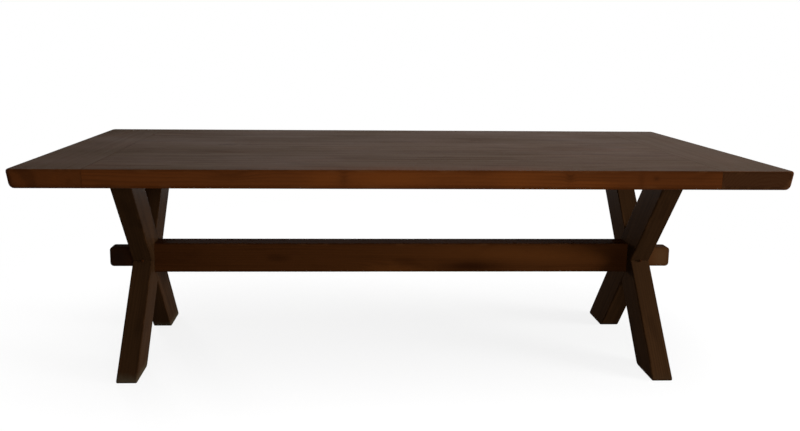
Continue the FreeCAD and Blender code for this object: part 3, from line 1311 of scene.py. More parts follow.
@dataclass
class PlankTop:
    """The top: five planks side by side between two end boards.

    Attributes:
        nodes: the frame's CAD nodes.
        planks_finish: wood of the planks.
        ends_finish: wood of the end boards.
        pegs: maker of the pegs that lock the tongues.
        plank_tones: strength of each plank's colour, from front to rear.
        end_tone: strength of the end boards' colour.
        left_end_dark: how much darker the left end board's end grain is than its face, from 0 to 1.
        arris: radius of the upper rim.
        end_arris: radius of the upper rim at the ends.
        lower_round: radius of the lower rim.
        end_lower_round: radius of the lower rim at the ends.
        corner_round: radius of the top's corners in plan.
        undercut: how far the ends draw in towards the underside.
        hairline: size of the eased edges along the joints.
        tongue: thickness of the planks' tongues.
        tongue_stop: distance from the tongues to the top's long edges.
        tongue_slack: room beside the outer tongues.
        clearance: room round a tongue or a peg.
        spare: spare depth of a groove.
        step: distance between cross-sections.
        sweeper: maker of the boards' meshes.
        edges: places of the top's front and rear edge.
        heights: heights of the underside and of the upper face.
        middle: height of the tongues' middle.
        shoulder: distance from the table's middle to the planks' shoulders.
        tip: distance from the table's middle to the tongues' ends.
    """

    nodes: dict[str, bpy.types.Object]
    planks_finish: Wood
    ends_finish: Wood
    pegs: Pegs
    plank_tones: tuple[float, ...] = (1.0, 0.97, 1.03, 0.95, 1.0)
    end_tone: float = 0.95
    left_end_dark: float = 0.12
    arris: float = 0.004
    end_arris: float = 0.010
    lower_round: float = 0.010
    end_lower_round: float = 0.015
    corner_round: float = 0.016
    undercut: float = 0.010
    hairline: float = 0.0004
    tongue: float = 0.020
    tongue_stop: float = 0.055
    tongue_slack: float = 0.006
    clearance: float = 0.00015
    spare: float = 0.001
    step: float = 0.045
    sweeper: Sweeper = Sweeper(width_steps=6)
    edges: Limits = field(init=False)
    heights: Limits = field(init=False)
    middle: float = field(init=False)
    shoulder: float = field(init=False)
    tip: float = field(init=False)

    def __post_init__(self) -> None:
        """Work out the places that follow from the frame."""
        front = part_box(PLANKS[0])[0]
        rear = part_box(PLANKS[-1])[1]
        self.edges = (front.y, rear.y)
        self.heights = (front.z, rear.z)
        self.middle = sum(self.heights) / 2
        self.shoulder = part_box("right_end_board")[0].x
        self.tip = rear.x

    def build(self, screw_holes: bmesh.types.BMesh) -> None:
        """Make the planks, end boards and pegs.

        Args:
            screw_holes: pilot holes under the planks, which are freed.
        """
        self.build_planks(screw_holes)
        for side in Side:
            self.build_end_board(side)
            self.pegs.build(self.nodes[side.word + "_end_pegs"])

    def tongue_limits(self, width: Limits) -> Limits:
        """Limits of a plank's tongue, which stops short of the top's long edges."""
        front, rear = narrowed(self.edges, self.tongue_stop)
        return max(width[0], front), min(width[1], rear)

    def plank_rings(self, width: Limits) -> list[Ring]:
        """Lay out the cross-sections of a plank.

        Args:
            width: the plank's limits across the table.

        Returns:
            The cross-sections, from tongue to tongue.
        """
        first = width[0] == self.edges[0]
        last = width[1] == self.edges[1]
        hair = self.hairline
        rounds = (self.lower_round if first else hair, self.lower_round if last else hair,
                  self.arris if last else hair, self.arris if first else hair)
        body = [Ring(x, width, self.heights, rounds)
                for x in stations(-self.shoulder + hair, self.shoulder - hair, self.step, GUARD)]
        held = Ring(self.shoulder, self.tongue_limits(width), around(self.middle, self.tongue / 2),
                    (hair,) * 4)
        end = [replace(body[-1].inset(hair, 1.0), at=self.shoulder), held, replace(held, at=self.tip - hair),
               replace(held.inset(hair), at=self.tip)]
        start = [replace(ring, at=-ring.at) for ring in reversed(end)]
        return start + body + end

    def build_planks(self, screw_holes: bmesh.types.BMesh) -> None:
        """Make the planks, with their tongues, grooves and holes.

        Args:
            screw_holes: pilot holes under the planks, which are freed.
        """
        pilot = bpy.data.meshes.new("pilot_holes")
        screw_holes.to_mesh(pilot)
        screw_holes.free()
        for node, tone in zip(PLANKS, self.plank_tones):
            low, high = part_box(node)
            name = node + "_board"
            mesh = self.sweeper.sweep(self.plank_rings((low.y, high.y)), Run.ALONG)
            hand_work(mesh, name)
            piece = new_object(name, mesh, (low + high) / 2)
            holes = bmesh.new()
            holes.from_mesh(pilot)
            carve(piece, self.spline_grooves(low.y, high.y), holes)
            for side in Side:
                carve(piece, self.pegs.holes(self.nodes[side.word + "_end_pegs"], self.clearance))
            marks = PLANK_MARKS_AND_PAINTED_LIGHT.get(node, ())
            grain = Grain.of(name, ALONG, tone=tone, marks=marks, middle=tuple(piece.location))
            dress(piece, self.planks_finish.material(grain), node)
        bpy.data.meshes.remove(pilot)

    def spline_grooves(self, front: float, rear: float) -> bmesh.types.BMesh:
        """Make the cutters for the loose splines along a plank's joints.

        Args:
            front: place of the plank's front edge.
            rear: place of its rear edge.

        Returns:
            Stopped grooves.
        """
        room = Vector((self.spare, self.spare, self.clearance))
        grooves = []
        for number in range(1, len(PLANKS)):
            low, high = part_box(f"plank_spline_{number}")
            if low.y < rear and high.y > front:
                grooves.append(block(*zip(low - room, high + room)))
        return together(grooves)

    def end_board_ring(self, y: float) -> Ring:
        """Lay out a cross-section of the right end board, drawn in towards its two ends.

        Args:
            y: its place across the table.

        Returns:
            The cross-section.
        """
        distance = self.edges[1] - abs(y)
        low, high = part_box("right_end_board")
        outer = high.x - drawn_in(self.corner_round, distance)
        heights = (self.heights[0] + drawn_in(self.lower_round, distance),
                   self.heights[1] - drawn_in(self.arris, distance))
        rounds = (self.hairline, self.end_lower_round, self.end_arris, self.hairline)
        edge = 1.0 if distance < self.arris else None
        return Ring(y, (low.x, outer), heights, rounds, self.undercut, edge=edge)

    def build_end_board(self, side: Side) -> None:
        """Make one end board, with its groove and peg holes.

        Args:
            side: its end of the table. The left board mirrors the right one.
        """
        radii = (self.arris, self.lower_round, self.corner_round)
        near = sorted({round(place, DIGITS) for radius in radii for place in arc_places(radius)})
        body = stations(*narrowed(self.edges, near[-1]), self.step, END_BOARD_GUARD)
        places = [self.edges[0] + place for place in near[:-1]] + body
        places += [self.edges[1] - place for place in reversed(near[:-1])]
        mesh = self.sweeper.sweep([self.end_board_ring(y) for y in places], Run.ACROSS)
        if side is Side.LEFT:
            mesh.transform(Matrix.Diagonal((-1, 1, 1, 1)))
            bmesh.ops.reverse_faces(mesh, faces=mesh.faces)
        node = side.word + "_end_board"
        name = node + "_board"
        hand_work(mesh, name)
        low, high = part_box(node)
        piece = new_object(name, mesh, (low + high) / 2)
        ends = sorted(side.value * place for place in (self.shoulder - OVERRUN, self.tip + self.spare))
        reach = self.edges[1] - self.tongue_stop + self.tongue_slack
        groove = block(tuple(ends), (-reach, reach), around(self.middle, self.tongue / 2 + self.clearance))
        carve(piece, groove, self.pegs.holes(self.nodes[side.word + "_end_pegs"], self.clearance))
        end_dark = self.left_end_dark if side is Side.LEFT else 1.0
        grain = Grain.of(name, ACROSS, tone=self.end_tone, end_dark=end_dark, middle=tuple(piece.location))
        dress(piece, self.ends_finish.material(grain), node)


@dataclass
class Trestle:
    """Two crossed legs, half-lapped, with a bearer over them.

    Attributes:
        nodes: the frame's CAD nodes.
        side: the end of the table it stands at.
        foot_places: where its front and rear foot stand.
        finish: its wood.
        pegs: maker of its pegs.
        scuffed: strength of the paler tone at its feet, from 0 to 1.
        tone: strength of its colour, low partly for its darker wood and partly as painted shade under the top.
        leg_width: width of the legs, square to their length.
        leg_arris: radius of the legs' long edges.
        toe_round: radius of the foot's outer edge.
        heel_round: radius of the foot's inner edge.
        sole_steps: cross-sections in the foot's rounded part.
        stub: thickness and length of the stub tenon on a leg's head.
        stub_chamfer: size of the stub tenon's eased edges.
        socket_spare: spare depth of the stub tenon's socket.
        bearer_arris: radius of the bearer's lower edges.
        bearer_flat: length of the bearer's level underside.
        bearer_tip: depth of the bearer at its ends.
        bore: radius of the screws' counterbores.
        bore_sides: faces round a counterbore.
        seat: depth of wood that the screws' heads draw up against.
        slot: width and length of the screws' slotted holes.
        slot_sides: faces round a slotted hole.
        tenon: height and thickness of the stretcher's tenon.
        clearance: room round a joint.
        step: distance between cross-sections.
        leg_sweeper: maker of the legs' meshes.
        bearer_sweeper: maker of the bearer's mesh.
        bearer_box: the bearer's low and high corner.
        head: height of the legs' shoulders.
        stub_top: height of the stub tenons' ends.
        thickness: the legs' limits along the table.
        middle: place of the legs' middle along the table.
        crossing: height at which the legs' axes cross.
        spread: distance of a foot's middle from the table's middle line.
        lean: angle between a leg and the vertical.
        half_slice: half the length of a leg's level cross-section.
    """

    nodes: dict[str, bpy.types.Object]
    side: Side
    foot_places: dict[Foot, Vector]
    finish: Wood
    pegs: Pegs
    scuffed: float
    # Low tone: partly darker wood, partly painted shade under the top.
    tone: float = 0.44
    leg_width: float = 0.115
    leg_arris: float = 0.0035
    toe_round: float = 0.007
    heel_round: float = 0.030
    sole_steps: int = 10
    stub: Pair = (0.030, 0.084)
    stub_chamfer: float = 0.001
    socket_spare: float = 0.001
    bearer_arris: float = 0.003
    bearer_flat: float = 0.600
    bearer_tip: float = 0.012
    bore: float = 0.011
    bore_sides: int = 32
    seat: float = 0.017
    slot: Pair = (0.007, 0.015)
    slot_sides: int = 16
    tenon: Pair = (0.075, 0.040)
    clearance: float = 0.00015
    step: float = 0.04
    leg_sweeper: Sweeper = Sweeper(depth_steps=3)
    bearer_sweeper: Sweeper = Sweeper()
    bearer_box: Box = field(init=False)
    head: float = field(init=False)
    stub_top: float = field(init=False)
    thickness: Limits = field(init=False)
    middle: float = field(init=False)
    crossing: float = field(init=False)
    spread: float = field(init=False)
    lean: float = field(init=False)
    half_slice: float = field(init=False)

    def __post_init__(self) -> None:
        """Work out the places that follow from the frame."""
        low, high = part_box(self.side.word + "_bearer")
        leg_low, leg_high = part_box(self.side.word + "_front_leg")
        self.bearer_box = (low, high)
        self.head = low.z
        self.stub_top = leg_high.z
        self.thickness = (leg_low.x, leg_high.x)
        self.middle = sum(self.thickness) / 2
        self.crossing = high.z / 2
        self.spread = abs(self.foot_places[Foot.FRONT].y)
        self.lean = math.atan2(self.spread, self.crossing)
        self.half_slice = self.leg_width / 2 / math.cos(self.lean)

    def axis_y(self, foot: Foot, z: float) -> float:
        """Place of a leg's axis across the table at a height."""
        return foot.value * self.spread * (1 - z / self.crossing)

    def leg_ring(self, foot: Foot, z: float) -> Ring:
        """Lay out a level cross-section of a leg, with its rounded toe, heel and sole.

        Args:
            foot: where the leg's foot stands.
            z: height of the cross-section.

        Returns:
            The cross-section.
        """
        outward = foot.value
        middle = self.axis_y(foot, z)
        reach = [self.half_slice, self.half_slice]
        turn = math.pi / 2 - self.lean
        for end, radius, corner in ((0, self.toe_round, turn), (1, self.heel_round, math.pi - turn)):
            if z < radius * (1 + math.cos(corner)):
                tip = self.half_slice - radius / math.tan(corner / 2)
                out = tip + math.sqrt(radius * radius - (radius - z) ** 2)
                reach[end] = out + (outward * self.spread - middle) * (outward if end == 0 else -outward)
        outer = middle + outward * reach[0]
        inner = middle - outward * reach[1]
        depth = narrowed(self.thickness, drawn_in(self.leg_arris, z))
        edge = 1.0 if z < self.leg_arris else None
        return Ring(z, tuple(sorted((outer, inner))), depth, (self.leg_arris,) * 4,
                    stretch=1 / math.cos(self.lean), edge=edge)

    def leg_rings(self, foot: Foot) -> list[Ring]:
        """Lay out the cross-sections of a leg.

        Args:
            foot: where the leg's foot stands.

        Returns:
            The cross-sections, from the sole to the top of the stub tenon.
        """
        sole = self.heel_round / 2
        places = [sole * (step / self.sole_steps) ** 2 for step in range(self.sole_steps)]
        places += stations(sole, self.head, self.step, GUARD)
        body = [self.leg_ring(foot, z) for z in places]
        thick, long = self.stub
        chamfer = self.stub_chamfer
        y = self.axis_y(foot, self.head)
        held = Ring(self.head, around(y, long / 2), around(self.middle, thick / 2), (chamfer,) * 4)
        tip = replace(held.inset(chamfer), at=self.stub_top)
        return [*body, held, replace(held, at=self.stub_top - chamfer), tip]

    def lap(self, foot: Foot) -> bmesh.types.BMesh:
        """Make the cutter for a leg's half lap.

        Args:
            foot: where the leg's foot stands.

        Returns:
            The other leg's run through the outer half of a rear leg, or the inner half of a front leg.
        """
        mesh = bmesh.new()
        way = self.side.value * foot.value
        far = self.middle + way * ((self.thickness[1] - self.thickness[0]) / 2 + OVERRUN)
        corners = [(self.axis_y(foot.other, z) + hand * self.half_slice, z)
                   for z, hand in ((0, -1), (0, 1), (self.head, 1), (self.head, -1))]
        loops = [[mesh.verts.new((x, *corner)) for corner in corners] for x in (self.middle, far)]
        return closed_up(mesh, loops)

    def build_leg(self, foot: Foot) -> None:
        """Make one leg, with its lap, mortise and peg holes.

        Args:
            foot: where its foot stands.
        """
        node = f"{self.side.word}_{foot.word}_leg"
        name = node + "_timber"
        mesh = self.leg_sweeper.sweep(self.leg_rings(foot), Run.UPRIGHT)
        hand_work(mesh, name)
        along = Vector((0, self.axis_y(foot, self.head) - self.axis_y(foot, 0), self.head))
        middle = Vector((self.middle, self.axis_y(foot, self.crossing), self.crossing))
        piece = new_object(name, mesh, middle)
        high, thick = (size / 2 + self.clearance for size in self.tenon)
        mortise = block(narrowed(self.thickness, -OVERRUN), (-thick, thick), around(self.crossing, high))
        lock = self.pegs.holes(self.nodes[self.side.word + "_tenon_peg"], self.clearance)
        head_pegs = self.pegs.holes(self.nodes[self.side.word + "_bearer_pegs"], self.clearance)
        carve(piece, self.lap(foot), mortise, lock, head_pegs)
        grain = Grain.of(name, along, tone=self.tone, scuffed=self.scuffed)
        dress(piece, self.finish.material(grain, -middle.z), node)

    def bearer_ring(self, y: float) -> Ring:
        """Lay out a cross-section of the bearer, thinner towards its ends.

        Args:
            y: its place across the table.

        Returns:
            The cross-section.
        """
        low, high = self.bearer_box
        distance = high.y - abs(y)
        flat = self.bearer_flat / 2
        rise = max(0.0, (abs(y) - flat) / (high.y - flat)) * (high.z - low.z - self.bearer_tip)
        width = narrowed((low.x, high.x), drawn_in(self.bearer_arris, distance))
        rounds = (self.bearer_arris, self.bearer_arris, 0.0, 0.0)
        edge = 1.0 if distance < self.bearer_arris else None
        return Ring(y, width, (low.z + rise, high.z), rounds, edge=edge)

    def bearer_places(self) -> list[float]:
        """Place the bearer's cross-sections.

        Returns:
            Places across the table, from front to rear.
        """
        flat = self.bearer_flat / 2
        tip = self.bearer_box[1].y
        arcs = arc_places(self.bearer_arris)
        half = stations(flat, tip - arcs[-1], self.step, FINE_GUARD) + [tip - arc for arc in arcs[-2::-1]]
        level = stations(-flat, flat, self.step, FINE_GUARD)
        return [-y for y in reversed(half)] + level[1:-1] + half

    def build_bearer(self, screws: Sequence[Vector]) -> None:
        """Make the bearer, with its sockets, peg holes and screw holes.

        Args:
            screws: plan places of the screws.
        """
        low, high = self.bearer_box
        node = self.side.word + "_bearer"
        name = node + "_timber"
        mesh = self.bearer_sweeper.sweep([self.bearer_ring(y) for y in self.bearer_places()], Run.ACROSS)
        hand_work(mesh, name)
        piece = new_object(name, mesh, (low + high) / 2)
        thick, long = (size / 2 + self.clearance for size in self.stub)
        depth = (low.z - OVERRUN, self.stub_top + self.socket_spare)
        sockets = [block(around(self.middle, thick), around(self.axis_y(foot, self.head), long), depth)
                   for foot in Foot]
        slots = []
        bores = []
        for spot in screws:
            start = spot + UP * (low.z - OVERRUN)
            slots.append(self.slotted(start, spot + UP * (high.z + OVERRUN)))
            bores.append(rod(start, spot + UP * (high.z - self.seat), self.bore, self.bore_sides))
        pegs = self.pegs.holes(self.nodes[self.side.word + "_bearer_pegs"], self.clearance)
        carve(piece, together(sockets), pegs, together(bores), together(slots))
        dress(piece, self.finish.material(Grain.of(name, ACROSS, tone=self.tone)), node)

    def slotted(self, start: Vector, end: Vector) -> bmesh.types.BMesh:
        """Make the cutter for an upright slotted hole, longer across the table.

        Args:
            start: its lower end.
            end: its upper end.

        Returns:
            The cutter.
        """
        width, length = self.slot
        mesh = rod(start, end, width / 2, self.slot_sides)
        for vert in mesh.verts:
            vert.co.y += math.copysign((length - width) / 2, vert.co.y - start.y)
        return mesh

    def build(self, screws: Sequence[Vector]) -> None:
        """Make the legs, the bearer and their pegs.

        Args:
            screws: plan places of the screws.
        """
        for foot in Foot:
            self.build_leg(foot)
        self.build_bearer(screws)
        for kind in ("_bearer_pegs", "_tenon_peg"):
            self.pegs.build(self.nodes[self.side.word + kind])


@dataclass
class Stretcher:
    """The long rail between the crossings, with its through tenons.

    Attributes:
        nodes: the frame's CAD nodes.
        finish: its wood.
        pegs: maker of the pegs that lock it.
        shoulder: distance from the table's middle to its shoulders.
        tone: strength of its colour, low as painted shade under the top.
        tenon: height and thickness of the tenons.
        arris: radius of the rail's long edges.
        tenon_arris: radius of the tenons' edges.
        end_round: radius of the upper and lower edge of the tenons' ends.
        end_steps: cross-sections in that round.
        end_edge: arris strength of that round.
        clearance: room round a peg.
        step: distance between cross-sections of the rail.
        tenon_step: distance between cross-sections of the tenons.
        sweeper: maker of its mesh.
    """

    nodes: dict[str, bpy.types.Object]
    finish: Wood
    pegs: Pegs
    shoulder: float
    # Low tone: painted shade under the top.
    tone: float = 0.56
    tenon: Pair = (0.075, 0.040)
    arris: float = 0.004
    tenon_arris: float = 0.0035
    end_round: float = 0.014
    end_steps: int = 8
    end_edge: float = 0.6
    clearance: float = 0.0001
    step: float = 0.045
    tenon_step: float = 0.03
    sweeper: Sweeper = Sweeper(depth_steps=3)

    def rings(self) -> list[Ring]:
        """Lay out the cross-sections.

        Returns:
            The cross-sections, from tenon to tenon.
        """
        low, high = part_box("stretcher")
        middle = (low + high) / 2
        body = [Ring(x, (low.y, high.y), (low.z, high.z), (self.arris,) * 4)
                for x in stations(-self.shoulder, self.shoulder, self.step, GUARD)]
        tall, thick = self.tenon
        held = Ring(self.shoulder, around(0.0, thick / 2), around(middle.z, tall / 2), (self.tenon_arris,) * 4)
        run = stations(self.shoulder, high.x - self.end_round, self.tenon_step, FINE_GUARD)
        end = [replace(held, at=x) for x in run]
        for place in arc_places(self.end_round, self.end_steps)[-2::-1]:
            width = narrowed(held.width, drawn_in(self.tenon_arris, place))
            depth = narrowed(held.depth, drawn_in(self.end_round, place))
            end.append(replace(held, at=high.x - place, width=width, depth=depth, edge=self.end_edge))
        start = [replace(ring, at=-ring.at) for ring in reversed(end)]
        return start + body + end

    def build(self) -> None:
        """Make the rail."""
        low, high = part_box("stretcher")
        name = "stretcher_timber"
        mesh = self.sweeper.sweep(self.rings(), Run.ALONG)
        hand_work(mesh, name)
        piece = new_object(name, mesh, (low + high) / 2)
        for side in Side:
            carve(piece, self.pegs.holes(self.nodes[side.word + "_tenon_peg"], self.clearance))
        grain = Grain.of(name, ALONG, tone=self.tone, marks=RAIL_MARKS_AND_PAINTED_LIGHT)
        dress(piece, self.finish.material(grain), "stretcher")


@dataclass
class Hardware:
    """The screws and washers that hold the top to one bearer.

    Attributes:
        nodes: the frame's CAD nodes.
        side: the bearer's end of the table.
        finish: their steel.
        shank: radius over the thread.
        core: radius at the bottom of the thread.
        pitch: height of one turn of the thread.
        flank: steepness of the thread's flanks.
        turn_steps: cross-sections in one turn of the thread.
        head: radius and height of the head.
        head_round: radius of the head's rim.
        head_steps: faces in that round.
        socket: width and depth of the six-sided drive.
        socket_rim: depth and width of the eased rim of the drive.
        point: length of the point.
        plain: length of the shank without thread.
        sides: faces round a screw.
        pilot_sides: faces round a pilot hole.
        washer_room: room between a washer and its screw.
        washer_sides: faces round a washer.
    """

    nodes: dict[str, bpy.types.Object]
    side: Side
    finish: Steel
    shank: float = 0.003
    core: float = 0.0021
    pitch: float = 0.0026
    flank: float = 3.0
    turn_steps: int = 6
    head: Pair = (0.0065, 0.0045)
    head_round: float = 0.002
    head_steps: int = 4
    socket: Pair = (0.005, 0.0024)
    socket_rim: Pair = (0.0003, 0.0005)
    point: float = 0.006
    plain: float = 0.016
    sides: int = 18
    pilot_sides: int = 12
    washer_room: float = 0.0001
    washer_sides: int = 32

    def boxes(self) -> list[Box]:
        """Boxes of the screws, from front to rear."""
        return solids(self.nodes[self.side.word + "_bearer_screws"])

    def places(self) -> list[Vector]:
        """Plan places of the screws."""
        return [Vector(((low.x + high.x) / 2, (low.y + high.y) / 2, 0)) for low, high in self.boxes()]

    def pilot_holes(self) -> bmesh.types.BMesh:
        """Make the cutters for the screws' blind holes under the planks.

        Returns:
            The cutters.
        """
        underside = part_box(self.side.word + "_bearer")[1].z
        rods = []
        for spot, (_, high) in zip(self.places(), self.boxes()):
            start = Vector((spot.x, spot.y, underside - OVERRUN))
            rods.append(rod(start, Vector((spot.x, spot.y, high.z)), self.shank, self.pilot_sides))
        return together(rods)

    def profile(self, length: float) -> tuple[Profile, int]:
        """Draw the outline of a screw.

        Args:
            length: the screw's length.

        Returns:
            The outline from the drive to the point, and the number of the thread's first point.
        """
        radius, height = self.head
        flat = self.socket[0] / 2
        rim_depth, rim_width = self.socket_rim
        outline = [(self.socket[1], 0.0), (self.socket[1], flat), (rim_depth, flat), (0.0, flat + rim_width)]
        edge = self.head_round
        for step in range(self.head_steps + 1):
            turn = math.pi / 2 * step / self.head_steps
            outline.append((edge - edge * math.cos(turn), radius - edge + edge * math.sin(turn)))
        outline += [(height, radius), (height, self.shank), (height + self.plain, self.shank)]
        first = len(outline)
        threaded = length - height - self.plain
        rings = round(threaded / self.pitch * self.turn_steps)
        for ring in range(rings + 1):
            along = height + self.plain + threaded * ring / rings
            taper = min(1.0, (length - along) / self.point)
            outline.append((along, self.shank * taper))
        return outline, first

    @staticmethod
    def upright(box: Box) -> Matrix:
        """Frame in the middle of a box's underside whose X axis looks up."""
        low, high = box
        return axis_pose(UP, Vector(((low.x + high.x) / 2, (low.y + high.y) / 2, low.z)))

    def screw(self, box: Box) -> bmesh.types.BMesh:
        """Make one screw.

        Args:
            box: its low and high corner.

        Returns:
            The screw, in the row frame, point up.
        """
        profile, thread = self.profile(box[1].z - box[0].z)
        drive = (1, 2)

        def shape(number: int, plain: float, turn: float) -> float:
            """Shape the six-sided drive and the thread.

            Args:
                number: a point's number in the outline.
                plain: its plain radius.
                turn: its turn round the axis.

            Returns:
                Its radius.
            """
            if number in drive:
                return plain / math.cos((turn + math.pi / 6) % (math.pi / 3) - math.pi / 6)
            if number < thread:
                return plain
            wave = (profile[number][0] / self.pitch - turn / (2 * math.pi)) % 1.0
            crest = max(0.0, 1 - self.flank * abs(wave - 0.5))
            return plain * (self.core + (self.shank - self.core) * crest) / self.shank

        mesh = lathe(profile, self.sides, shape)
        mesh.transform(self.upright(box))
        return mesh

    def washer(self, box: Box) -> bmesh.types.BMesh:
        """Make one washer with eased rims.

        Args:
            box: its low and high corner.

        Returns:
            The washer, in the row frame.
        """
        low, high = box
        outer = (high.x - low.x) / 2
        inner = self.shank + self.washer_room
        thick = high.z - low.z
        ease = thick / 4
        profile = [(ease, outer), (0.0, outer - ease), (0.0, inner + ease), (ease, inner),
                   (thick - ease, inner), (thick, inner + ease), (thick, outer - ease), (thick - ease, outer)]
        mesh = lathe(profile, self.washer_sides, ends=False)
        mesh.transform(self.upright(box))
        return mesh

    def build(self) -> None:
        """Make the screws and the washers, each kind as one piece."""
        for kind, maker in (("_bearer_screws", self.screw), ("_bearer_washers", self.washer)):
            node = self.nodes[self.side.word + kind]
            boxes = solids(node)
            middle = (boxes[0][0] + boxes[-1][1]) / 2
            piece = new_object(node.name + "_steel", together(maker(box) for box in boxes), middle)
            dress(piece, self.finish.material(), node.name)


# Stage


@dataclass(frozen=True)
class Lamp:
    """A soft lamp.

    Attributes:
        name: the lamp's name.
        place: where it hangs.
        aim: the point it looks at.
        size: its width and height.
        power: its power in watts.
        beam: angle of its beam, in degrees.
        mirrored: whether it shows in gloss.
    """

    name: str
    place: Place
    aim: Place
    size: Pair
    power: float
    beam: float = 180.0
    mirrored: bool = True

    def hang(self) -> bpy.types.Object:
        """Put the lamp in the scene.

        Returns:
            The lamp.
        """
        light = bpy.data.lights.new(self.name, "AREA")
        light.shape = "RECTANGLE"
        light.size, light.size_y = self.size
        light.energy = self.power
        light.spread = math.radians(self.beam)
        lamp = bpy.data.objects.new(self.name, light)
        bpy.context.scene.collection.objects.link(lamp)
        lamp.location = self.place
        lamp.visible_glossy = self.mirrored
        lamp.rotation_euler = (Vector(self.aim) - Vector(self.place)).to_track_quat("-Z", "Y").to_euler()
        return lamp


@dataclass
class Studio:
    """White floor and surroundings, soft lamps, and the camera at the photograph's viewing angle.

    Attributes:
        lamps: the soft lamps.
        floor_lamp: the lamp that lights the floor alone, so that the table's shadow shows on it.
        fill: strength of the light from all round.
        floor_size: side of the floor.
        floor_cells: cells along a side of the floor.
        floor_tone: the floor's lit colour.
        floor_bounce: how much of the light the floor throws back at the table.
        floor_white: share of plain white, over the floor's lit colour, in its picture near the table.
        floor_fade: distances between which that share rises to all of it.
        eye: place of the camera.
        pitch: how far it looks down, in degrees.
        yaw: how far it turns to the left, in degrees.
        roll: how far it tilts, in degrees.
        lens: focal length, in millimetres.
        sensor: width of the sensor, in millimetres.
        shift: how far the picture's middle lies from the lens's axis, as a share of the picture's width.
    """

    lamps: tuple[Lamp, ...]
    floor_lamp: Lamp
    fill: float = 0.02
    floor_size: float = 60.0
    floor_cells: int = 8
    floor_tone: float = 0.95
    floor_bounce: float = 0.08
    floor_white: float = 0.85
    floor_fade: Limits = (1.2, 2.6)
    eye: Place = (-0.1962, -2.5676, 1.1471)
    pitch: float = 8.084
    yaw: float = -1.582
    roll: float = 0.466
    lens: float = 31.424
    sensor: float = 36.0
    shift: Pair = (0.0498, -0.0889)

    @staticmethod
    def seen(graph: Graph) -> Sock:
        """1 for what the camera sees, straight or in gloss or glass, and 0 for light on the object."""
        camera, gloss, glass = (graph.node("LightPath", ray) for ray in SEEN_RAYS)
        return graph.math("MAXIMUM", graph.math("MAXIMUM", camera, gloss), glass)

    def build_world(self) -> None:
        """Make surroundings that look white and throw a plain, even light."""
        world = bpy.data.worlds.new("surroundings")
        bpy.context.scene.world = world
        graph = Graph(world)
        strength = self.fill + self.seen(graph) * (1 - self.fill)
        shader = graph.node("Background", inputs={"Color": WHITE, "Strength": strength})
        graph.surface(shader, "OutputWorld")

    def floor_material(self) -> bpy.types.Material:
        """Make the floor's finish.

        Returns:
            A matt finish that looks white and keeps the table's shadow.
        """
        material = bpy.data.materials.new("white_floor")
        graph = Graph(material)
        seen = self.seen(graph)
        distance = graph.vector("LENGTH", graph.node("TexCoord", "Object"), (0, 0, 0), "Value")
        white = self.floor_white + graph.rise(distance, *self.floor_fade) * (1 - self.floor_white)
        tone = graph.mix(seen, (self.floor_bounce,) * 3, (self.floor_tone,) * 3)
        finish = {"Base Color": tone, "Roughness": 1.0, "Specular IOR Level": 0.0}
        matt = graph.node("BsdfPrincipled", "BSDF", finish)
        plain = graph.node("Emission", inputs={"Color": WHITE, "Strength": 1.0})
        layers = {"Fac": seen * white, "Shader": matt, "Shader_001": plain}
        graph.surface(graph.node("MixShader", inputs=layers))
        return material

    def build_floor(self) -> None:
        """Lay the floor, and hang the lamp that lights it alone."""
        mesh = bmesh.new()
        cells = self.floor_cells
        bmesh.ops.create_grid(mesh, x_segments=cells, y_segments=cells, size=self.floor_size / 2)
        floor = new_object("floor", mesh, Vector())
        floor.data.materials.append(self.floor_material())
        lit = bpy.data.collections.new("floor_only")
        lit.objects.link(floor)
        self.floor_lamp.hang().light_linking.receiver_collection = lit

    def build_camera(self) -> None:
        """Set up the camera."""
        data = bpy.data.cameras.new("camera")
        data.sensor_width = self.sensor
        data.sensor_fit = "HORIZONTAL"
        data.lens = self.lens
        data.shift_x, data.shift_y = self.shift
        camera = bpy.data.objects.new("camera", data)
        bpy.context.scene.collection.objects.link(camera)
        turn = Matrix.Rotation(math.radians(self.yaw), 4, "Z")
        look = Matrix.Rotation(math.radians(90 - self.pitch), 4, "X")
        tilt = Matrix.Rotation(math.radians(self.roll), 4, "Z")
        camera.matrix_world = Matrix.Translation(self.eye) @ turn @ look @ tilt
        bpy.context.scene.camera = camera

    def build(self) -> None:
        """Make the surroundings, the floor, the lamps and the camera."""
        self.build_world()
        self.build_floor()
        for lamp in self.lamps:
            lamp.hang()
        self.build_camera()
        bpy.context.scene.view_settings.view_transform = "Standard"
        log.info("studio: %d lamps", len(self.lamps))


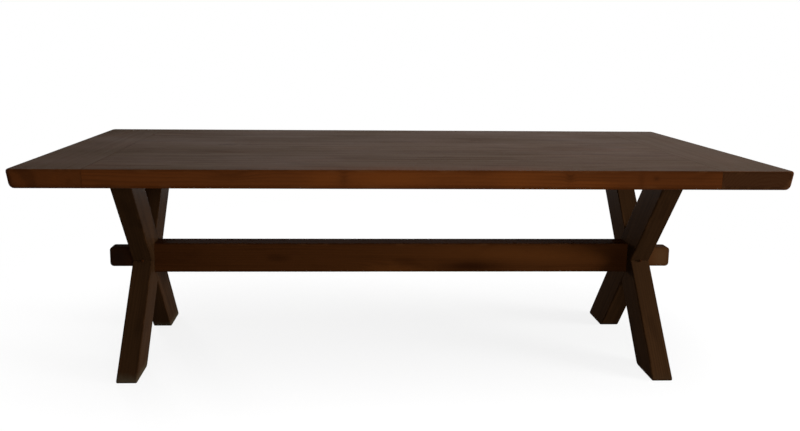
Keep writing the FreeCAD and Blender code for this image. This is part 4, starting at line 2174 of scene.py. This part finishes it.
LAMPS = (
    Lamp("side", (4.6, -1.4, 1.0), (0.0, 0.0, 0.5), (1.6, 1.2), 260.0, mirrored=False),
    Lamp("front", (0.2, -3.2, 1.2), (0.0, 0.0, 0.7), (1.2, 0.8), 34.0),
    Lamp("overhead", (0.8, -0.3, 3.0), (0.0, 0.0, 0.7), (2.5, 1.5), 25.0),
    Lamp("rear", (-0.5, 3.2, 0.25), (0.0, 0.0, 0.5), (2.4, 0.3), 55.0),
    Lamp("left", (-2.2, 2.2, 0.45), (-1.0, 0.0, 0.5), (0.6, 0.4), 6.0, beam=50.0, mirrored=False),
)
FLOOR_LAMP = Lamp("floor_lamp", (0.0, -0.4, 3.5), (0.0, 0.0, 0.0), (5.0, 4.0), 200.0)


def main() -> None:
    """Build the table and the studio."""
    logging.basicConfig(level=logging.INFO, format="%(name)s %(message)s")
    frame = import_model()
    nodes = frame["nodes"]
    plank_wood = Wood("plank_wood", fade=0.7)
    end_wood = Wood("end_board_wood", fade=0.7, figure=0.25, relief=0.0002)
    # The trestle's colours are greyer than the planks' as a painted sheen.
    trestle_wood = Wood("trestle_wood", early=display(82, 55, 33), late=display(58, 37, 22),
                        deep=display(46, 29, 17), glow=display(98, 66, 40), end=display(60, 42, 30),
                        shine=0.0008)
    rail_wood = Wood("rail_wood", early=display(88, 49, 22), glow=display(106, 60, 26), shine=0.0017)
    peg_wood = Wood("peg_wood")
    steel = Steel("screw_steel")
    pegs = Pegs(peg_wood)
    feet = {mount["name"]: Vector(mount["pos_m"]) for mount in frame["record"]["mounts"]}
    hardware = [Hardware(nodes, side, steel) for side in Side]
    pilot_holes = together(fittings.pilot_holes() for fittings in hardware)
    PlankTop(nodes, plank_wood, end_wood, pegs).build(pilot_holes)
    for side, fittings in zip(Side, hardware):
        places = {foot: feet[f"{side.word}_{foot.word}_foot"] for foot in Foot}
        Trestle(nodes, side, places, trestle_wood, pegs, PALE_FEET[side]).build(fittings.places())
        fittings.build()
    Stretcher(nodes, rail_wood, pegs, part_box("right_front_leg")[0].x).build()
    for number in range(1, len(PLANKS)):
        spline = nodes[f"plank_spline_{number}"]
        spline.data.materials.clear()
        spline.data.materials.append(peg_wood.material(Grain.of(spline.name, ALONG)))
        log.info("%s: kept from the frame", spline.name)
    Studio(LAMPS, FLOOR_LAMP).build()


if __name__ == "__main__":
    main()
